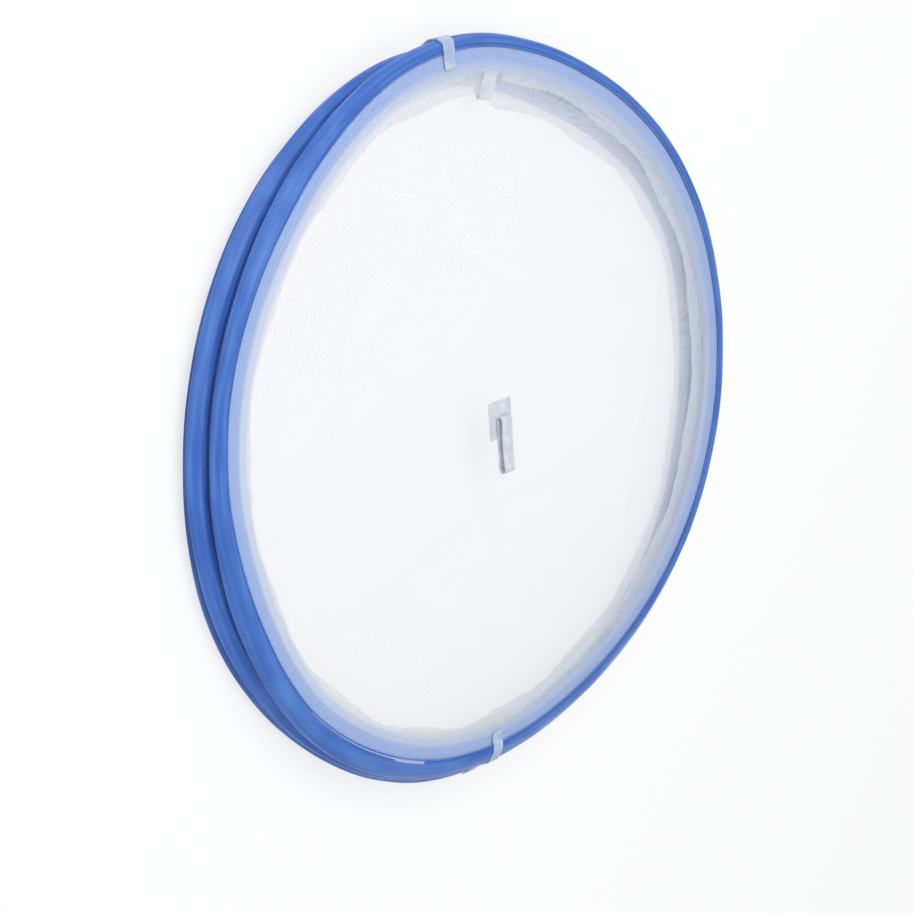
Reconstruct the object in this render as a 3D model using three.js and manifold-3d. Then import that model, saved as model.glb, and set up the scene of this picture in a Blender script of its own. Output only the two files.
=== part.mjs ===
// Pop-up mesh food cover, folded flat and lying on its base hoop.
// Three stacked hoops of flat spring steel, each bound in folded tape, carry a round top net
// and a side wall of net. The base and crown hoops are full circles. The middle one is a
// single screw turn that climbs from the base to the crown when the cover springs open.
// Millimetres, +Z up. The origin is the centre of the base hoop, on the surface it lies on.

import * as THREE from 'three';
import { mergeVertices } from 'three/addons/utils/BufferGeometryUtils.js';
import Module from 'manifold-3d';

const wasm = await Module();
wasm.setup();

const { degToRad } = THREE.MathUtils;

// Whole cover, folded
const coverDiameter = 500;
const foldedHeight = 29.7;
const clearance = 0.3;
const hoopSteps = 60;

// Tape binding: a flattened tube round the wire, leaning outwards. Its upper ply ends in a
// narrow lip and its lower ply in a wide flange, and the edge of a net goes in between them.
const bandWidth = 9.8;
const bandThickness = 5;
const bandTilt = degToRad(40);
const tapeThickness = 0.7;
const lipWidth = 2.6;
const flangeWidth = 12.6;

// Spring steel and the crimped sleeve that closes each full circle
const wireWidth = 3.2;
const wireThickness = 1;
const sleeveWall = 0.5;
const sleeveLength = 16;
const sleeveStep = 40;

// The screw turn between the two full circles
const seamAngle = degToRad(175);
const seamOpening = degToRad(5);

// Nets
const netThickness = 0.3;
const netPitch = 28;
const netStrand = 4;
const deepFold = 16;
const shallowFold = 6;
const foldRadius = 0.9;
const foldWaves = 15;
const foldWaveDepth = 1.6;
const seamTapeWidth = 14;
const seamTapeThickness = 0.5;

// Closing straps over the rim, and the block of stitches at each end
const strapAngle = degToRad(6.25);
const strapWidth = 10;
const strapThickness = 0.8;
const strapFootHeight = 0.9;
const strapStep = 2.5;
const tackLength = 8;
const tackWidth = 1.6;
const tackThickness = 0.5;
const tackInset = 1.2;

// Lift loop at the middle of the top net
const loopLength = 40;
const loopHeight = 6;
const loopWidth = 10;
const loopRibbon = 0.6;
const patchLength = 26;
const patchWidth = 22;
const patchThickness = 0.6;
const loopArcSteps = 6;

// Seam slot between the lip and the flange, which grips the edge of a net
const slotHeight = netThickness + 2 * clearance;

// Finishes
const finishes = {
  tape: { color: 0x4472c4, roughness: 0.55, metalness: 0 },
  net: { color: 0xf2f5fa, roughness: 0.8, metalness: 0 },
  ribbon: { color: 0xdfe8f6, roughness: 0.6, metalness: 0 },
  thread: { color: 0xf4f6fa, roughness: 0.7, metalness: 0 },
  steel: { color: 0x9aa0a6, roughness: 0.35, metalness: 1 },
};

const cover = new THREE.Group();

function addPiece(name, geometry, finish) {
  const mesh = new THREE.Mesh(geometry, new THREE.MeshStandardMaterial(finishes[finish]));
  mesh.name = name;
  cover.add(mesh);
}

function toSolid(geometry) {
  const bare = geometry.clone();
  bare.deleteAttribute('normal');
  bare.deleteAttribute('uv');
  const merged = mergeVertices(bare);
  return new wasm.Manifold(new wasm.Mesh({
    numProp: 3,
    vertProperties: merged.getAttribute('position').array,
    triVerts: Uint32Array.from(merged.index.array),
  }));
}

function toGeometry(solid) {
  const { vertProperties, triVerts } = solid.getMesh();
  const geometry = new THREE.BufferGeometry();
  geometry.setAttribute('position', new THREE.BufferAttribute(vertProperties, 3));
  geometry.setIndex(new THREE.BufferAttribute(triVerts, 1));
  return geometry;
}

// Geometry helpers. A section is drawn in (distance from the cover's axis, height).

function polarPoint(centre, radius, angle) {
  return new THREE.Vector2(Math.cos(angle), Math.sin(angle)).multiplyScalar(radius).add(centre);
}

function arcPoints(centre, radius, fromAngle, toAngle, steps) {
  const points = [];
  for (let step = 0; step <= steps; step += 1) {
    const angle = THREE.MathUtils.lerp(fromAngle, toAngle, step / steps);
    points.push(polarPoint(centre, radius, angle));
  }
  return points;
}

// Outline of a strip of even thickness along an open path, with mitred corners
function stripOutline(path, thickness) {
  const left = [];
  const right = [];
  path.forEach((point, index) => {
    const before = path[Math.max(index - 1, 0)];
    const after = path[Math.min(index + 1, path.length - 1)];
    const arriving = point.clone().sub(before);
    const leaving = after.clone().sub(point);
    const first = (index === 0 ? leaving : arriving).clone().normalize();
    const second = (index === path.length - 1 ? arriving : leaving).clone().normalize();
    const mean = first.add(second).normalize();
    const halfTurn = mean.dot(second);
    const side = new THREE.Vector2(-mean.y, mean.x).multiplyScalar(thickness / 2 / halfTurn);
    left.push(point.clone().add(side));
    right.push(point.clone().sub(side));
  });
  return left.concat(right.reverse());
}

function shifted(points, outwards, upwards) {
  return points.map((point) => new THREE.Vector2(point.x + outwards, point.y + upwards));
}

function counterClockwise(points) {
  return THREE.ShapeUtils.isClockWise(points) ? points.slice().reverse() : points;
}

function extent(points, axis, pick) {
  return pick(...points.map((point) => point[axis]));
}

// A full ring: the section turned round the cover's axis
function ringOf(section) {
  const outline = counterClockwise(section);
  const geometry = new THREE.LatheGeometry([...outline, outline[0]], hoopSteps);
  return geometry.rotateX(Math.PI / 2);
}

// A part ring whose section may change on the way round, closed at both ends
function sweepRound(sectionAt, fromAngle, toAngle, steps) {
  const positions = [];
  const indices = [];
  let count = 0;
  for (let step = 0; step <= steps; step += 1) {
    const share = step / steps;
    const angle = THREE.MathUtils.lerp(fromAngle, toAngle, share);
    const outline = counterClockwise(sectionAt(share, angle));
    outline.forEach((point) => {
      positions.push(point.x * Math.cos(angle), point.x * Math.sin(angle), point.y);
    });
    if (step === 0 || step === steps) {
      const first = step * outline.length;
      THREE.ShapeUtils.triangulateShape(outline, []).forEach(([a, b, c]) => {
        const face = step === 0 ? [a, b, c] : [a, c, b];
        indices.push(...face.map((index) => first + index));
      });
    }
    count = outline.length;
  }
  for (let step = 0; step < steps; step += 1) {
    for (let index = 0; index < count; index += 1) {
      const here = step * count + index;
      const beside = step * count + ((index + 1) % count);
      indices.push(here, here + count, beside + count, here, beside + count, beside);
    }
  }
  const geometry = new THREE.BufferGeometry();
  geometry.setAttribute('position', new THREE.Float32BufferAttribute(positions, 3));
  geometry.setIndex(indices);
  return geometry;
}

// A straight bar with the given section, centred on a heading from the cover's axis
function barAt(section, holes, length, heading) {
  const shape = new THREE.Shape(counterClockwise(section));
  holes.forEach((hole) => shape.holes.push(new THREE.Path(hole)));
  const geometry = new THREE.ExtrudeGeometry(shape, { depth: length, bevelEnabled: false });
  return geometry.rotateX(Math.PI / 2).translate(0, length / 2, 0).rotateZ(heading);
}

// Tape section round its own centre. The wire lies along the band, whose upper end is the
// head, where lip and flange leave, and whose lower end is the toe. The toe has a flat foot.
const bandAxis = new THREE.Vector2(Math.cos(bandTilt), -Math.sin(bandTilt));
const bandReach = (bandWidth - bandThickness) / 2;
const bandHead = bandAxis.clone().multiplyScalar(-bandReach);
const bandToe = bandAxis.clone().multiplyScalar(bandReach);
const bandRound = bandThickness / 2;
const tapeRound = bandRound - tapeThickness / 2;
const faceAngle = Math.PI / 2 - bandTilt;
const plyRoot = bandHead.x - bandRound;
const lipEdge = plyRoot - lipWidth;
const flangeEdge = plyRoot - flangeWidth;

function tapePath() {
  const upperPly = bandHead.y + tapeRound;
  const lowerPly = upperPly - tapeThickness - slotHeight;
  const lowerRise = lowerPly - bandHead.y;
  const joinOffset = Math.sqrt(tapeRound ** 2 - lowerRise ** 2);
  return [
    new THREE.Vector2(lipEdge, upperPly),
    ...arcPoints(bandHead, tapeRound, Math.PI / 2, faceAngle, 1),
    ...arcPoints(bandToe, tapeRound, faceAngle, -faceAngle, 2),
    polarPoint(bandToe, tapeRound, faceAngle - Math.PI),
    polarPoint(bandHead, tapeRound, faceAngle - Math.PI),
    new THREE.Vector2(bandHead.x - joinOffset, lowerPly),
    new THREE.Vector2(flangeEdge, lowerPly),
  ];
}

const tapeSection = stripOutline(tapePath(), tapeThickness);
const tapeTop = extent(tapeSection, 'y', Math.max);
const tapeBottom = extent(tapeSection, 'y', Math.min);
const slotMiddle = bandHead.y + bandRound - tapeThickness - slotHeight / 2;
const flangeTop = slotMiddle - slotHeight / 2;
const flangeUnderside = flangeTop - tapeThickness;

// Places of the three bands: the radius of the band's centre and its heights
const bandRadius = coverDiameter / 2 - extent(tapeSection, 'x', Math.max);
const baseHeight = -tapeBottom;
const crownHeight = foldedHeight - tapeTop;
const nestPitch = (bandThickness + 2 * clearance) / Math.cos(bandTilt);
const turnStartHeight = baseHeight + nestPitch;
const turnEndHeight = crownHeight - nestPitch;
const turnStart = seamAngle + seamOpening / 2;
const turnEnd = seamAngle + 2 * Math.PI - seamOpening / 2;

function turnHeight(share) {
  return THREE.MathUtils.lerp(turnStartHeight, turnEndHeight, share);
}

// Tape bindings

function addBindings() {
  addPiece('base_binding', ringOf(shifted(tapeSection, bandRadius, baseHeight)), 'tape');
  addPiece('crown_binding', ringOf(shifted(tapeSection, bandRadius, crownHeight)), 'tape');
  const turnSection = (share) => shifted(tapeSection, bandRadius, turnHeight(share));
  addPiece('turn_binding', sweepRound(turnSection, turnStart, turnEnd, hoopSteps), 'tape');
}

// Spring steel. In the full circles the wire keeps room for its sleeve at the toe of the
// band. In the turn it lies out in the fold of the tape.

function flatBar(endFromToe, width, thickness) {
  const outerEnd = bandToe.clone().addScaledVector(bandAxis, endFromToe);
  const innerEnd = outerEnd.clone().addScaledVector(bandAxis, -width);
  return stripOutline([innerEnd, outerEnd], thickness);
}

const footInside = tapeRound * Math.sin(faceAngle) - tapeThickness / 2;
const turnWireEnd = footInside - clearance;
const sleeveMargin = clearance + sleeveWall;
const hoopWireEnd = -sleeveMargin;

function addWires() {
  const hoopWire = flatBar(hoopWireEnd, wireWidth, wireThickness);
  const turnWire = flatBar(turnWireEnd, wireWidth, wireThickness);
  addPiece('base_wire', ringOf(shifted(hoopWire, bandRadius, baseHeight)), 'steel');
  addPiece('crown_wire', ringOf(shifted(hoopWire, bandRadius, crownHeight)), 'steel');
  const turnSection = (share) => shifted(turnWire, bandRadius, turnHeight(share));
  addPiece('turn_wire', sweepRound(turnSection, turnStart, turnEnd, hoopSteps), 'steel');
}

// Crimped sleeve over the joined wire ends, in the middle of one facet of the ring

function addSleeve(name, height) {
  const facet = (2 * Math.PI) / hoopSteps;
  const heading = (sleeveStep + 1 / 2) * facet;
  const radius = bandRadius * Math.cos(facet / 2);
  const boreEnd = hoopWireEnd + clearance;
  const bore = flatBar(boreEnd, wireWidth + 2 * clearance, wireThickness + 2 * clearance);
  const shell = flatBar(
    hoopWireEnd + sleeveMargin,
    wireWidth + 2 * sleeveMargin,
    wireThickness + 2 * sleeveMargin,
  );
  const outline = shifted(shell, radius, height);
  const hole = shifted(bore, radius, height);
  addPiece(name, barAt(outline, [hole], sleeveLength, heading), 'steel');
}

// Top net: a flat disc whose edge lies over the crown's flange and goes in under its lip

function netGaps(clearRadius) {
  const gaps = [];
  const side = netPitch - netStrand;
  const reach = Math.ceil(clearRadius / netPitch);
  for (let column = -reach; column < reach; column += 1) {
    for (let row = -reach; row < reach; row += 1) {
      const x = (column + 1 / 2) * netPitch;
      const y = (row + 1 / 2) * netPitch;
      if (Math.hypot(Math.abs(x) + side / 2, Math.abs(y) + side / 2) < clearRadius) {
        const gap = new THREE.BoxGeometry(side, side, netThickness + 2 * clearance);
        gaps.push(toSolid(gap.translate(x, y, 0)));
      }
    }
  }
  return wasm.Manifold.union(gaps);
}

const topNetBottom = crownHeight + slotMiddle - netThickness / 2;
const topNetTop = topNetBottom + netThickness;
const netEdge = bandRadius + bandHead.x;

function addTopNet() {
  const disc = toSolid(new THREE.CylinderGeometry(netEdge, netEdge, netThickness, hoopSteps)
    .rotateX(Math.PI / 2));
  const gaps = netGaps(bandRadius + flangeEdge - netStrand);
  const geometry = toGeometry(disc.subtract(gaps));
  geometry.translate(0, 0, topNetBottom + netThickness / 2);
  addPiece('top_net', geometry, 'net');
}

// Side wall. Folded flat, each net leaves from under the flange above it, goes in to a soft
// fold and comes back over the flange below it, under the lip. The fold is deep where the
// open wall is tall, and its depth ripples on the way round.

function foldPath(depth, topRoot, bottomRuns) {
  const fold = bandRadius + flangeEdge - depth;
  const middle = (topRoot.y + bottomRuns[0].y) / 2;
  return [
    topRoot,
    new THREE.Vector2(fold, middle + foldRadius),
    new THREE.Vector2(fold, middle - foldRadius),
    ...bottomRuns,
  ];
}

function wallPath(lowerBand, upperBand, depth) {
  const top = upperBand + flangeUnderside - clearance - netThickness / 2;
  const bottom = lowerBand + slotMiddle;
  return foldPath(depth, new THREE.Vector2(bandRadius + plyRoot - clearance, top), [
    new THREE.Vector2(bandRadius + lipEdge - clearance, bottom),
    new THREE.Vector2(netEdge, bottom),
  ]);
}

function rippledDepth(share, angle) {
  const depth = THREE.MathUtils.lerp(deepFold, shallowFold, share);
  return depth + foldWaveDepth * Math.cos(foldWaves * angle);
}

function addWallNets() {
  const upper = (share, angle) => {
    const path = wallPath(turnHeight(share), crownHeight, rippledDepth(share, angle));
    return stripOutline(path, netThickness);
  };
  const lower = (share, angle) => {
    const path = wallPath(baseHeight, turnHeight(share), rippledDepth(1 - share, angle));
    return stripOutline(path, netThickness);
  };
  addPiece('upper_wall_net', sweepRound(upper, turnStart, turnEnd, hoopSteps), 'net');
  addPiece('lower_wall_net', sweepRound(lower, turnStart, turnEnd, hoopSteps), 'net');
}

// Upright seam tape, which joins the ends of both wall nets in the opening of the turn

function addSeamTape() {
  const gap = clearance + seamTapeThickness / 2;
  const root = bandRadius + lipEdge - clearance;
  const top = crownHeight + flangeUnderside - gap;
  const bottom = baseHeight + flangeTop + gap;
  const path = foldPath(deepFold, new THREE.Vector2(root, top), [new THREE.Vector2(root, bottom)]);
  const outline = stripOutline(path, seamTapeThickness);
  addPiece('wall_seam_tape', barAt(outline, [], seamTapeWidth, seamAngle), 'ribbon');
}

// Closing straps: each is sewn to the base band, runs up over the crown band, steps down
// past the lip and ends on the net over the crown's flange. A block of stitches holds each
// end.

const strapRound = bandRound + clearance + strapThickness / 2;
const strapOffset = bandRadius + bandToe.x + strapRound;
const strapTop = crownHeight + bandHead.y + strapRound;
const strapEnd = topNetTop + clearance + strapThickness / 2;

function addStrap(side, heading) {
  const head = new THREE.Vector2(bandRadius + bandHead.x, crownHeight + bandHead.y);
  const toe = new THREE.Vector2(bandRadius + bandToe.x, crownHeight + bandToe.y);
  const strapPath = [
    new THREE.Vector2(bandRadius + flangeEdge, strapEnd),
    new THREE.Vector2(bandRadius + lipEdge - strapStep, strapEnd),
    new THREE.Vector2(bandRadius + lipEdge, strapTop),
    ...arcPoints(head, strapRound, Math.PI / 2, faceAngle, 2),
    ...arcPoints(toe, strapRound, faceAngle, 0, 2),
    new THREE.Vector2(strapOffset, strapFootHeight),
  ];
  const outline = stripOutline(strapPath, strapThickness);
  addPiece(`strap_${side}`, barAt(outline, [], strapWidth, heading), 'ribbon');

  const tackGap = strapThickness / 2 + clearance + tackThickness / 2;
  const crownTackEnd = bandRadius + flangeEdge + tackInset;
  const crownTack = [
    new THREE.Vector2(crownTackEnd, strapEnd + tackGap),
    new THREE.Vector2(crownTackEnd + tackWidth, strapEnd + tackGap),
  ];
  const baseTackEnd = strapFootHeight + tackInset;
  const baseTack = [
    new THREE.Vector2(strapOffset + tackGap, baseTackEnd),
    new THREE.Vector2(strapOffset + tackGap, baseTackEnd + tackWidth),
  ];
  const crownOutline = stripOutline(crownTack, tackThickness);
  const baseOutline = stripOutline(baseTack, tackThickness);
  addPiece(`crown_tack_${side}`, barAt(crownOutline, [], tackLength, heading), 'thread');
  addPiece(`base_tack_${side}`, barAt(baseOutline, [], tackLength, heading), 'thread');
}

// Lift loop: a flattened loop of ribbon that turns about its sewn end, on a square patch

function roundEndedPath(length, height) {
  const radius = height / 2;
  const farCentre = length - 2 * radius;
  const quarter = Math.PI / 2;
  return [
    ...arcPoints(new THREE.Vector2(0, 0), radius, 3 * quarter, quarter, loopArcSteps),
    ...arcPoints(new THREE.Vector2(farCentre, 0), radius, quarter, -quarter, loopArcSteps),
  ];
}

function addLoop() {
  const patchBottom = topNetTop + clearance;
  const patch = new THREE.BoxGeometry(patchLength, patchWidth, patchThickness);
  patch.translate(0, 0, patchBottom + patchThickness / 2);
  addPiece('loop_patch', patch, 'ribbon');

  const hingeHeight = patchBottom + patchThickness + clearance + loopHeight / 2;
  const inside = roundEndedPath(loopLength - 2 * loopRibbon, loopHeight - 2 * loopRibbon);
  const loop = barAt(roundEndedPath(loopLength, loopHeight), [inside], loopWidth, 0);
  loop.translate(0, 0, hingeHeight);
  addPiece('lift_loop', loop, 'ribbon');
}

addWires();
addSleeve('base_sleeve', baseHeight);
addSleeve('crown_sleeve', crownHeight);
addBindings();
addTopNet();
addWallNets();
addSeamTape();
addStrap('left', Math.PI + strapAngle);
addStrap('right', -strapAngle);
addLoop();

export default cover;
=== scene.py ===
"""Looks of a pop-up mesh food cover, folded flat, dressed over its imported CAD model.

Three hoops of flat spring steel lie on each other, each bound in folded blue tape: a base circle,
one screw turn and a crown circle. White net fills the crown and hangs, folded inwards, between
the hoops. Two ribbons over the rim hold the fold shut, and a ribbon loop lifts the cover.

Lengths are in metres and angles in radians, in the frame of the CAD model. Sections are drawn as
(distance from the cover's axis, height), and a heading is the angle round that axis from +X.
"""

import logging
import math
from dataclasses import dataclass, field
from enum import Enum
from typing import Any, Iterable, Sequence

import bmesh
import bpy
from mathutils import Matrix, Vector, noise
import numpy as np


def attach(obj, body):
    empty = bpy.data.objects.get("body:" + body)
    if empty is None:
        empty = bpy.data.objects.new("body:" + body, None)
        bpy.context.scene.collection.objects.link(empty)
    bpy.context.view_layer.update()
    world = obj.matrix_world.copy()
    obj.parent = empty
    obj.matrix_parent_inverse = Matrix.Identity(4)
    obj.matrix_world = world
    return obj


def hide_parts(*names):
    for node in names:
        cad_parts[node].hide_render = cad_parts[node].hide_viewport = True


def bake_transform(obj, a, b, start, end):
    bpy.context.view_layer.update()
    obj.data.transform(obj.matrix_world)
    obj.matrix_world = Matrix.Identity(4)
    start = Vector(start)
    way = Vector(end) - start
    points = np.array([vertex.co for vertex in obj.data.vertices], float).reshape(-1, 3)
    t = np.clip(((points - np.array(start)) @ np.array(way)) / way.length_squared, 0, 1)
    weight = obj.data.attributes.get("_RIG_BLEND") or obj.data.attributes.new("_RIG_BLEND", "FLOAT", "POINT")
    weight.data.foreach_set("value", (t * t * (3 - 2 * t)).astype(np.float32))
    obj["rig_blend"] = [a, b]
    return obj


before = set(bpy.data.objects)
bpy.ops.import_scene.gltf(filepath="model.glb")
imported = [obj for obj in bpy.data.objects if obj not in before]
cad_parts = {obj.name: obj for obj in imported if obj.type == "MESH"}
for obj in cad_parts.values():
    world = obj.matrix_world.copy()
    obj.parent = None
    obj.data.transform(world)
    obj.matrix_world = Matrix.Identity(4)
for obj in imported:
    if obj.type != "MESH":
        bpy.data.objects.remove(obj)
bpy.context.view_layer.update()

log = logging.getLogger("food_cover")

MM = 0.001
UP = Vector((0, 0, 1))
CLOTH_MAP = "Cloth"
ALONG = "along"
HEM = "hem"
THREAD_INDEX = 1
PART_COUNT = 16
NOISE_SEED = 7
NOISE_RANGE = (0.3, 0.7)


def srgb(red: int, green: int, blue: int) -> tuple[float, float, float, float]:
    """Turn a colour in 0 to 255 display values into a linear shader colour.

    Args:
        red: Red, 0 to 255.
        green: Green, 0 to 255.
        blue: Blue, 0 to 255.

    Returns:
        The linear colour with an alpha of 1.
    """

    def linear(value: int) -> float:
        """Return one part of the colour, made linear."""
        share = value / 255
        return share / 12.92 if share <= 0.04045 else ((share + 0.055) / 1.055) ** 2.4

    return linear(red), linear(green), linear(blue), 1.0


def blend_place(share: float) -> float:
    """Find where on a smooth blend a point has a given share of the motion.

    Args:
        share: The share of the far body's motion, 0 to 1.

    Returns:
        The place from the blend's start to its end, 0 to 1.
    """
    return 0.5 - math.sin(math.asin(1 - 2 * clamp(share)) / 3)


def lerp(start: float, end: float, share: float) -> float:
    """Return the value a share of the way from start to end."""
    return start + (end - start) * share


def clamp(value: float) -> float:
    """Return the value, kept from 0 to 1."""
    return min(max(value, 0.0), 1.0)


def smooth(value: float) -> float:
    """Return the value, kept from 0 to 1 and eased at both ends."""
    value = clamp(value)
    return value * value * (3 - 2 * value)


# Sizes


@dataclass(frozen=True)
class TapeSizes:
    """Section of the folded tape round its own centre, as in the CAD source."""

    band_width: float = 9.8 * MM
    band_thickness: float = 5 * MM
    tilt: float = math.radians(40)
    ply: float = 0.7 * MM
    lip_width: float = 2.6 * MM
    flange_width: float = 12.6 * MM
    slot: float = 0.9 * MM

    @property
    def down_band(self) -> Vector:
        """Direction from the band's head, where the nets leave, to its toe."""
        return Vector((math.cos(self.tilt), -math.sin(self.tilt)))

    @property
    def off_band(self) -> Vector:
        """Direction out of the band's face."""
        return Vector((math.sin(self.tilt), math.cos(self.tilt)))

    @property
    def head(self) -> Vector:
        """Centre of the band's upper round."""
        return self.down_band * (self.band_thickness - self.band_width) / 2

    @property
    def toe(self) -> Vector:
        """Centre of the band's lower round."""
        return -self.head

    @property
    def outer_round(self) -> float:
        """Radius of the band's rounds, outside."""
        return self.band_thickness / 2

    @property
    def fold_round(self) -> float:
        """Radius of the band's rounds in the middle of the tape."""
        return self.outer_round - self.ply / 2

    @property
    def face_angle(self) -> float:
        """Angle of the band's face on its rounds."""
        return math.pi / 2 - self.tilt

    @property
    def ply_root(self) -> float:
        """Distance out at which lip and flange leave the band."""
        return self.head.x - self.outer_round

    @property
    def lip_edge(self) -> float:
        """Distance out of the lip's free edge."""
        return self.ply_root - self.lip_width

    @property
    def flange_edge(self) -> float:
        """Distance out of the flange's free edge."""
        return self.ply_root - self.flange_width

    @property
    def upper_ply(self) -> float:
        """Height of the middle of the lip."""
        return self.head.y + self.fold_round

    @property
    def lower_ply(self) -> float:
        """Height of the middle of the flange."""
        return self.upper_ply - self.ply - self.slot

    @property
    def slot_middle(self) -> float:
        """Height of the middle of the slot between lip and flange."""
        return (self.upper_ply + self.lower_ply) / 2

    @property
    def flange_top(self) -> float:
        """Height of the flange's upper face."""
        return self.lower_ply + self.ply / 2

    @property
    def flange_underside(self) -> float:
        """Height of the flange's lower face."""
        return self.lower_ply - self.ply / 2


@dataclass(frozen=True)
class HoopStack:
    """Places of the three hoops, folded, as in the CAD source."""

    radius: float = 245.626 * MM
    base_height: float = 3.540 * MM
    crown_height: float = 25.657 * MM
    turn_low: float = 10.850 * MM
    turn_high: float = 18.347 * MM
    seam_heading: float = math.radians(175)
    seam_opening: float = math.radians(5)
    clearance: float = 0.3 * MM
    net_thickness: float = 0.3 * MM

    @property
    def net_top(self) -> float:
        """Height of the upper face of the crown's net."""
        return self.crown_height + TAPE.slot_middle + self.net_thickness / 2

    def heading(self, share: float) -> float:
        """Return the heading of the screw turn a share of the way along it."""
        start = self.seam_heading + self.seam_opening / 2
        return start + (math.tau - self.seam_opening) * share

    def height(self, share: float) -> float:
        """Return the height of the screw turn's band a share of the way along it."""
        return lerp(self.turn_low, self.turn_high, share)


TAPE = TapeSizes()
STACK = HoopStack()


@dataclass(frozen=True)
class Lobes:
    """How far a hoop stands out of its true circle, as waves of 1, 2, 3 and more to the turn."""

    cosines: tuple[float, ...]
    sines: tuple[float, ...]

    def swell(self, angle: float) -> float:
        """Return how far the hoop stands out at an angle.

        Args:
            angle: The angle from the near side.

        Returns:
            The distance out of the true circle.
        """
        swell = 0.0
        for index, (cosine, sine) in enumerate(zip(self.cosines, self.sines)):
            swell += cosine * math.cos((index + 1) * angle) + sine * math.sin((index + 1) * angle)
        return swell * MM


CROWN_LOBES = Lobes((0.0, 2.52, -2.71, -0.23, 0.71, 0.43), (-6.05, 2.15, -1.81, 0.66, 1.56, -0.09))
BASE_LOBES = Lobes((0.0, 5.46, -0.81, -2.6, 0.87, -0.45), (6.71, -0.44, -3.1, 0.08, 2.05, -1.24))


class Hoop(Enum):
    """The hoop that a piece goes with, or none for a piece that spans several."""

    BASE = "base"
    TURN = "turn"
    CROWN = "crown"
    NONE = "none"


@dataclass(frozen=True)
class Pressed:
    """A stretch of the crown whose band is pressed wider, or drawn narrower."""

    middle: float
    reach: float
    spread: float = 0.0
    draw: float = 0.0

    def shift(self, angle: float, out: float) -> float:
        """Return how far a point of the section moves outwards.

        Args:
            angle: The point's angle from the near side.
            out: How far it lies out from the band's centre.

        Returns:
            The distance, which grows outwards where the band spreads and inwards where it is
            drawn narrower.
        """
        off = math.remainder(angle - self.middle, math.tau)
        rim = TAPE.toe.x + TAPE.outer_round
        outer = clamp((out - TAPE.head.x) / (TAPE.toe.x - TAPE.head.x))
        inner = clamp((rim - out) / (rim - TAPE.lip_edge))
        return (self.spread * outer + self.draw * inner) * math.exp(-((off / self.reach) ** 2))


PRESSED = (
    Pressed(math.radians(-26), math.radians(15), spread=2.0 * MM),
    Pressed(math.radians(56), math.radians(28), spread=4.5 * MM),
    Pressed(math.radians(-3), math.radians(30), draw=4.8 * MM),
    Pressed(math.radians(53), math.radians(16), draw=3.6 * MM),
)


@dataclass(frozen=True)
class FoldedLie:
    """How the folded hoops lie: a little out of round, and not quite over each other."""

    facing: float = math.radians(-109.4)
    crown: Lobes = CROWN_LOBES
    base: Lobes = BASE_LOBES
    pressed: tuple[Pressed, ...] = PRESSED
    bulge: float = 6.3 * MM
    bulge_start: float = 0.35
    bulge_end: float = 0.25
    sway: float = 0.5 * MM
    sway_length: float = 45 * MM
    depth_slack: float = 0.3
    far_out: float = 1.1

    @staticmethod
    def depth(point: Vector) -> float:
        """Return a point's depth under the crown, 1 at the base."""
        return (STACK.crown_height - point.z) / (STACK.crown_height - STACK.base_height)

    def shares(self, point: Vector, hoop: Hoop) -> tuple[float, float]:
        """Return how far a point goes with the screw turn and with the crown.

        Args:
            point: The point.
            hoop: The hoop that it goes with.

        Returns:
            Its share of the screw turn's bulge, and of the crown's pressed band.
        """
        if hoop is not Hoop.NONE:
            return float(hoop is Hoop.TURN), float(hoop is Hoop.CROWN)
        depth = self.depth(point)
        turn = smooth(depth / self.bulge_start) * smooth((1 - depth) / self.bulge_end)
        return turn, smooth(1 - depth)

    def place(self, point: Vector, turn: float, crown: float) -> Vector:
        """Move a point of the true round shape to where it lies.

        Args:
            point: A point of the round shape.
            turn: Its share of the screw turn's bulge.
            crown: Its share of the crown's pressed band.

        Returns:
            The point where it lies, at the same height.
        """
        flat = Vector((point.x, point.y, 0))
        distance = flat.length
        if distance < MM:
            return point
        angle = math.atan2(point.y, point.x) - self.facing
        depth = min(max(self.depth(point), -self.depth_slack), 1 + self.depth_slack)
        swell = lerp(self.crown.swell(angle), self.base.swell(angle), depth)
        swell += self.bulge * math.cos(angle) * turn
        if crown:
            out = distance - STACK.radius
            swell += crown * sum(part.shift(angle, out) for part in self.pressed)
        sway = noise.noise_vector(point / self.sway_length) * self.sway
        sway.z = 0
        fade = min(distance / STACK.radius, self.far_out) ** 2
        return point + (flat / distance * swell + sway) * fade


@dataclass(frozen=True)
class TapeRipple:
    """Small waves that sewing leaves in a tape, mostly along its free edges."""

    band_wave: float = 0.2 * MM
    band_length: float = 26 * MM
    edge_wave: float = 0.3 * MM
    edge_length: float = 9 * MM
    edge_start: float = 6 * MM
    ground: float = 2 * MM

    def lift(self, point: Vector) -> float:
        """Find how far a point of a tape is lifted by the waves.

        Args:
            point: The point.

        Returns:
            The lift, which fades out at the floor.
        """
        distance = math.hypot(point.x, point.y)
        inward = clamp((STACK.radius - distance - self.edge_start) / TAPE.flange_width)
        slow = noise.noise(point / self.band_length) * self.band_wave
        quick = noise.noise(Vector((point.x, point.y, 0)) / self.edge_length) * self.edge_wave
        grounded = min(point.z / self.ground, 1)
        return (slow + quick * inward) * grounded


# Finishes


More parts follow.
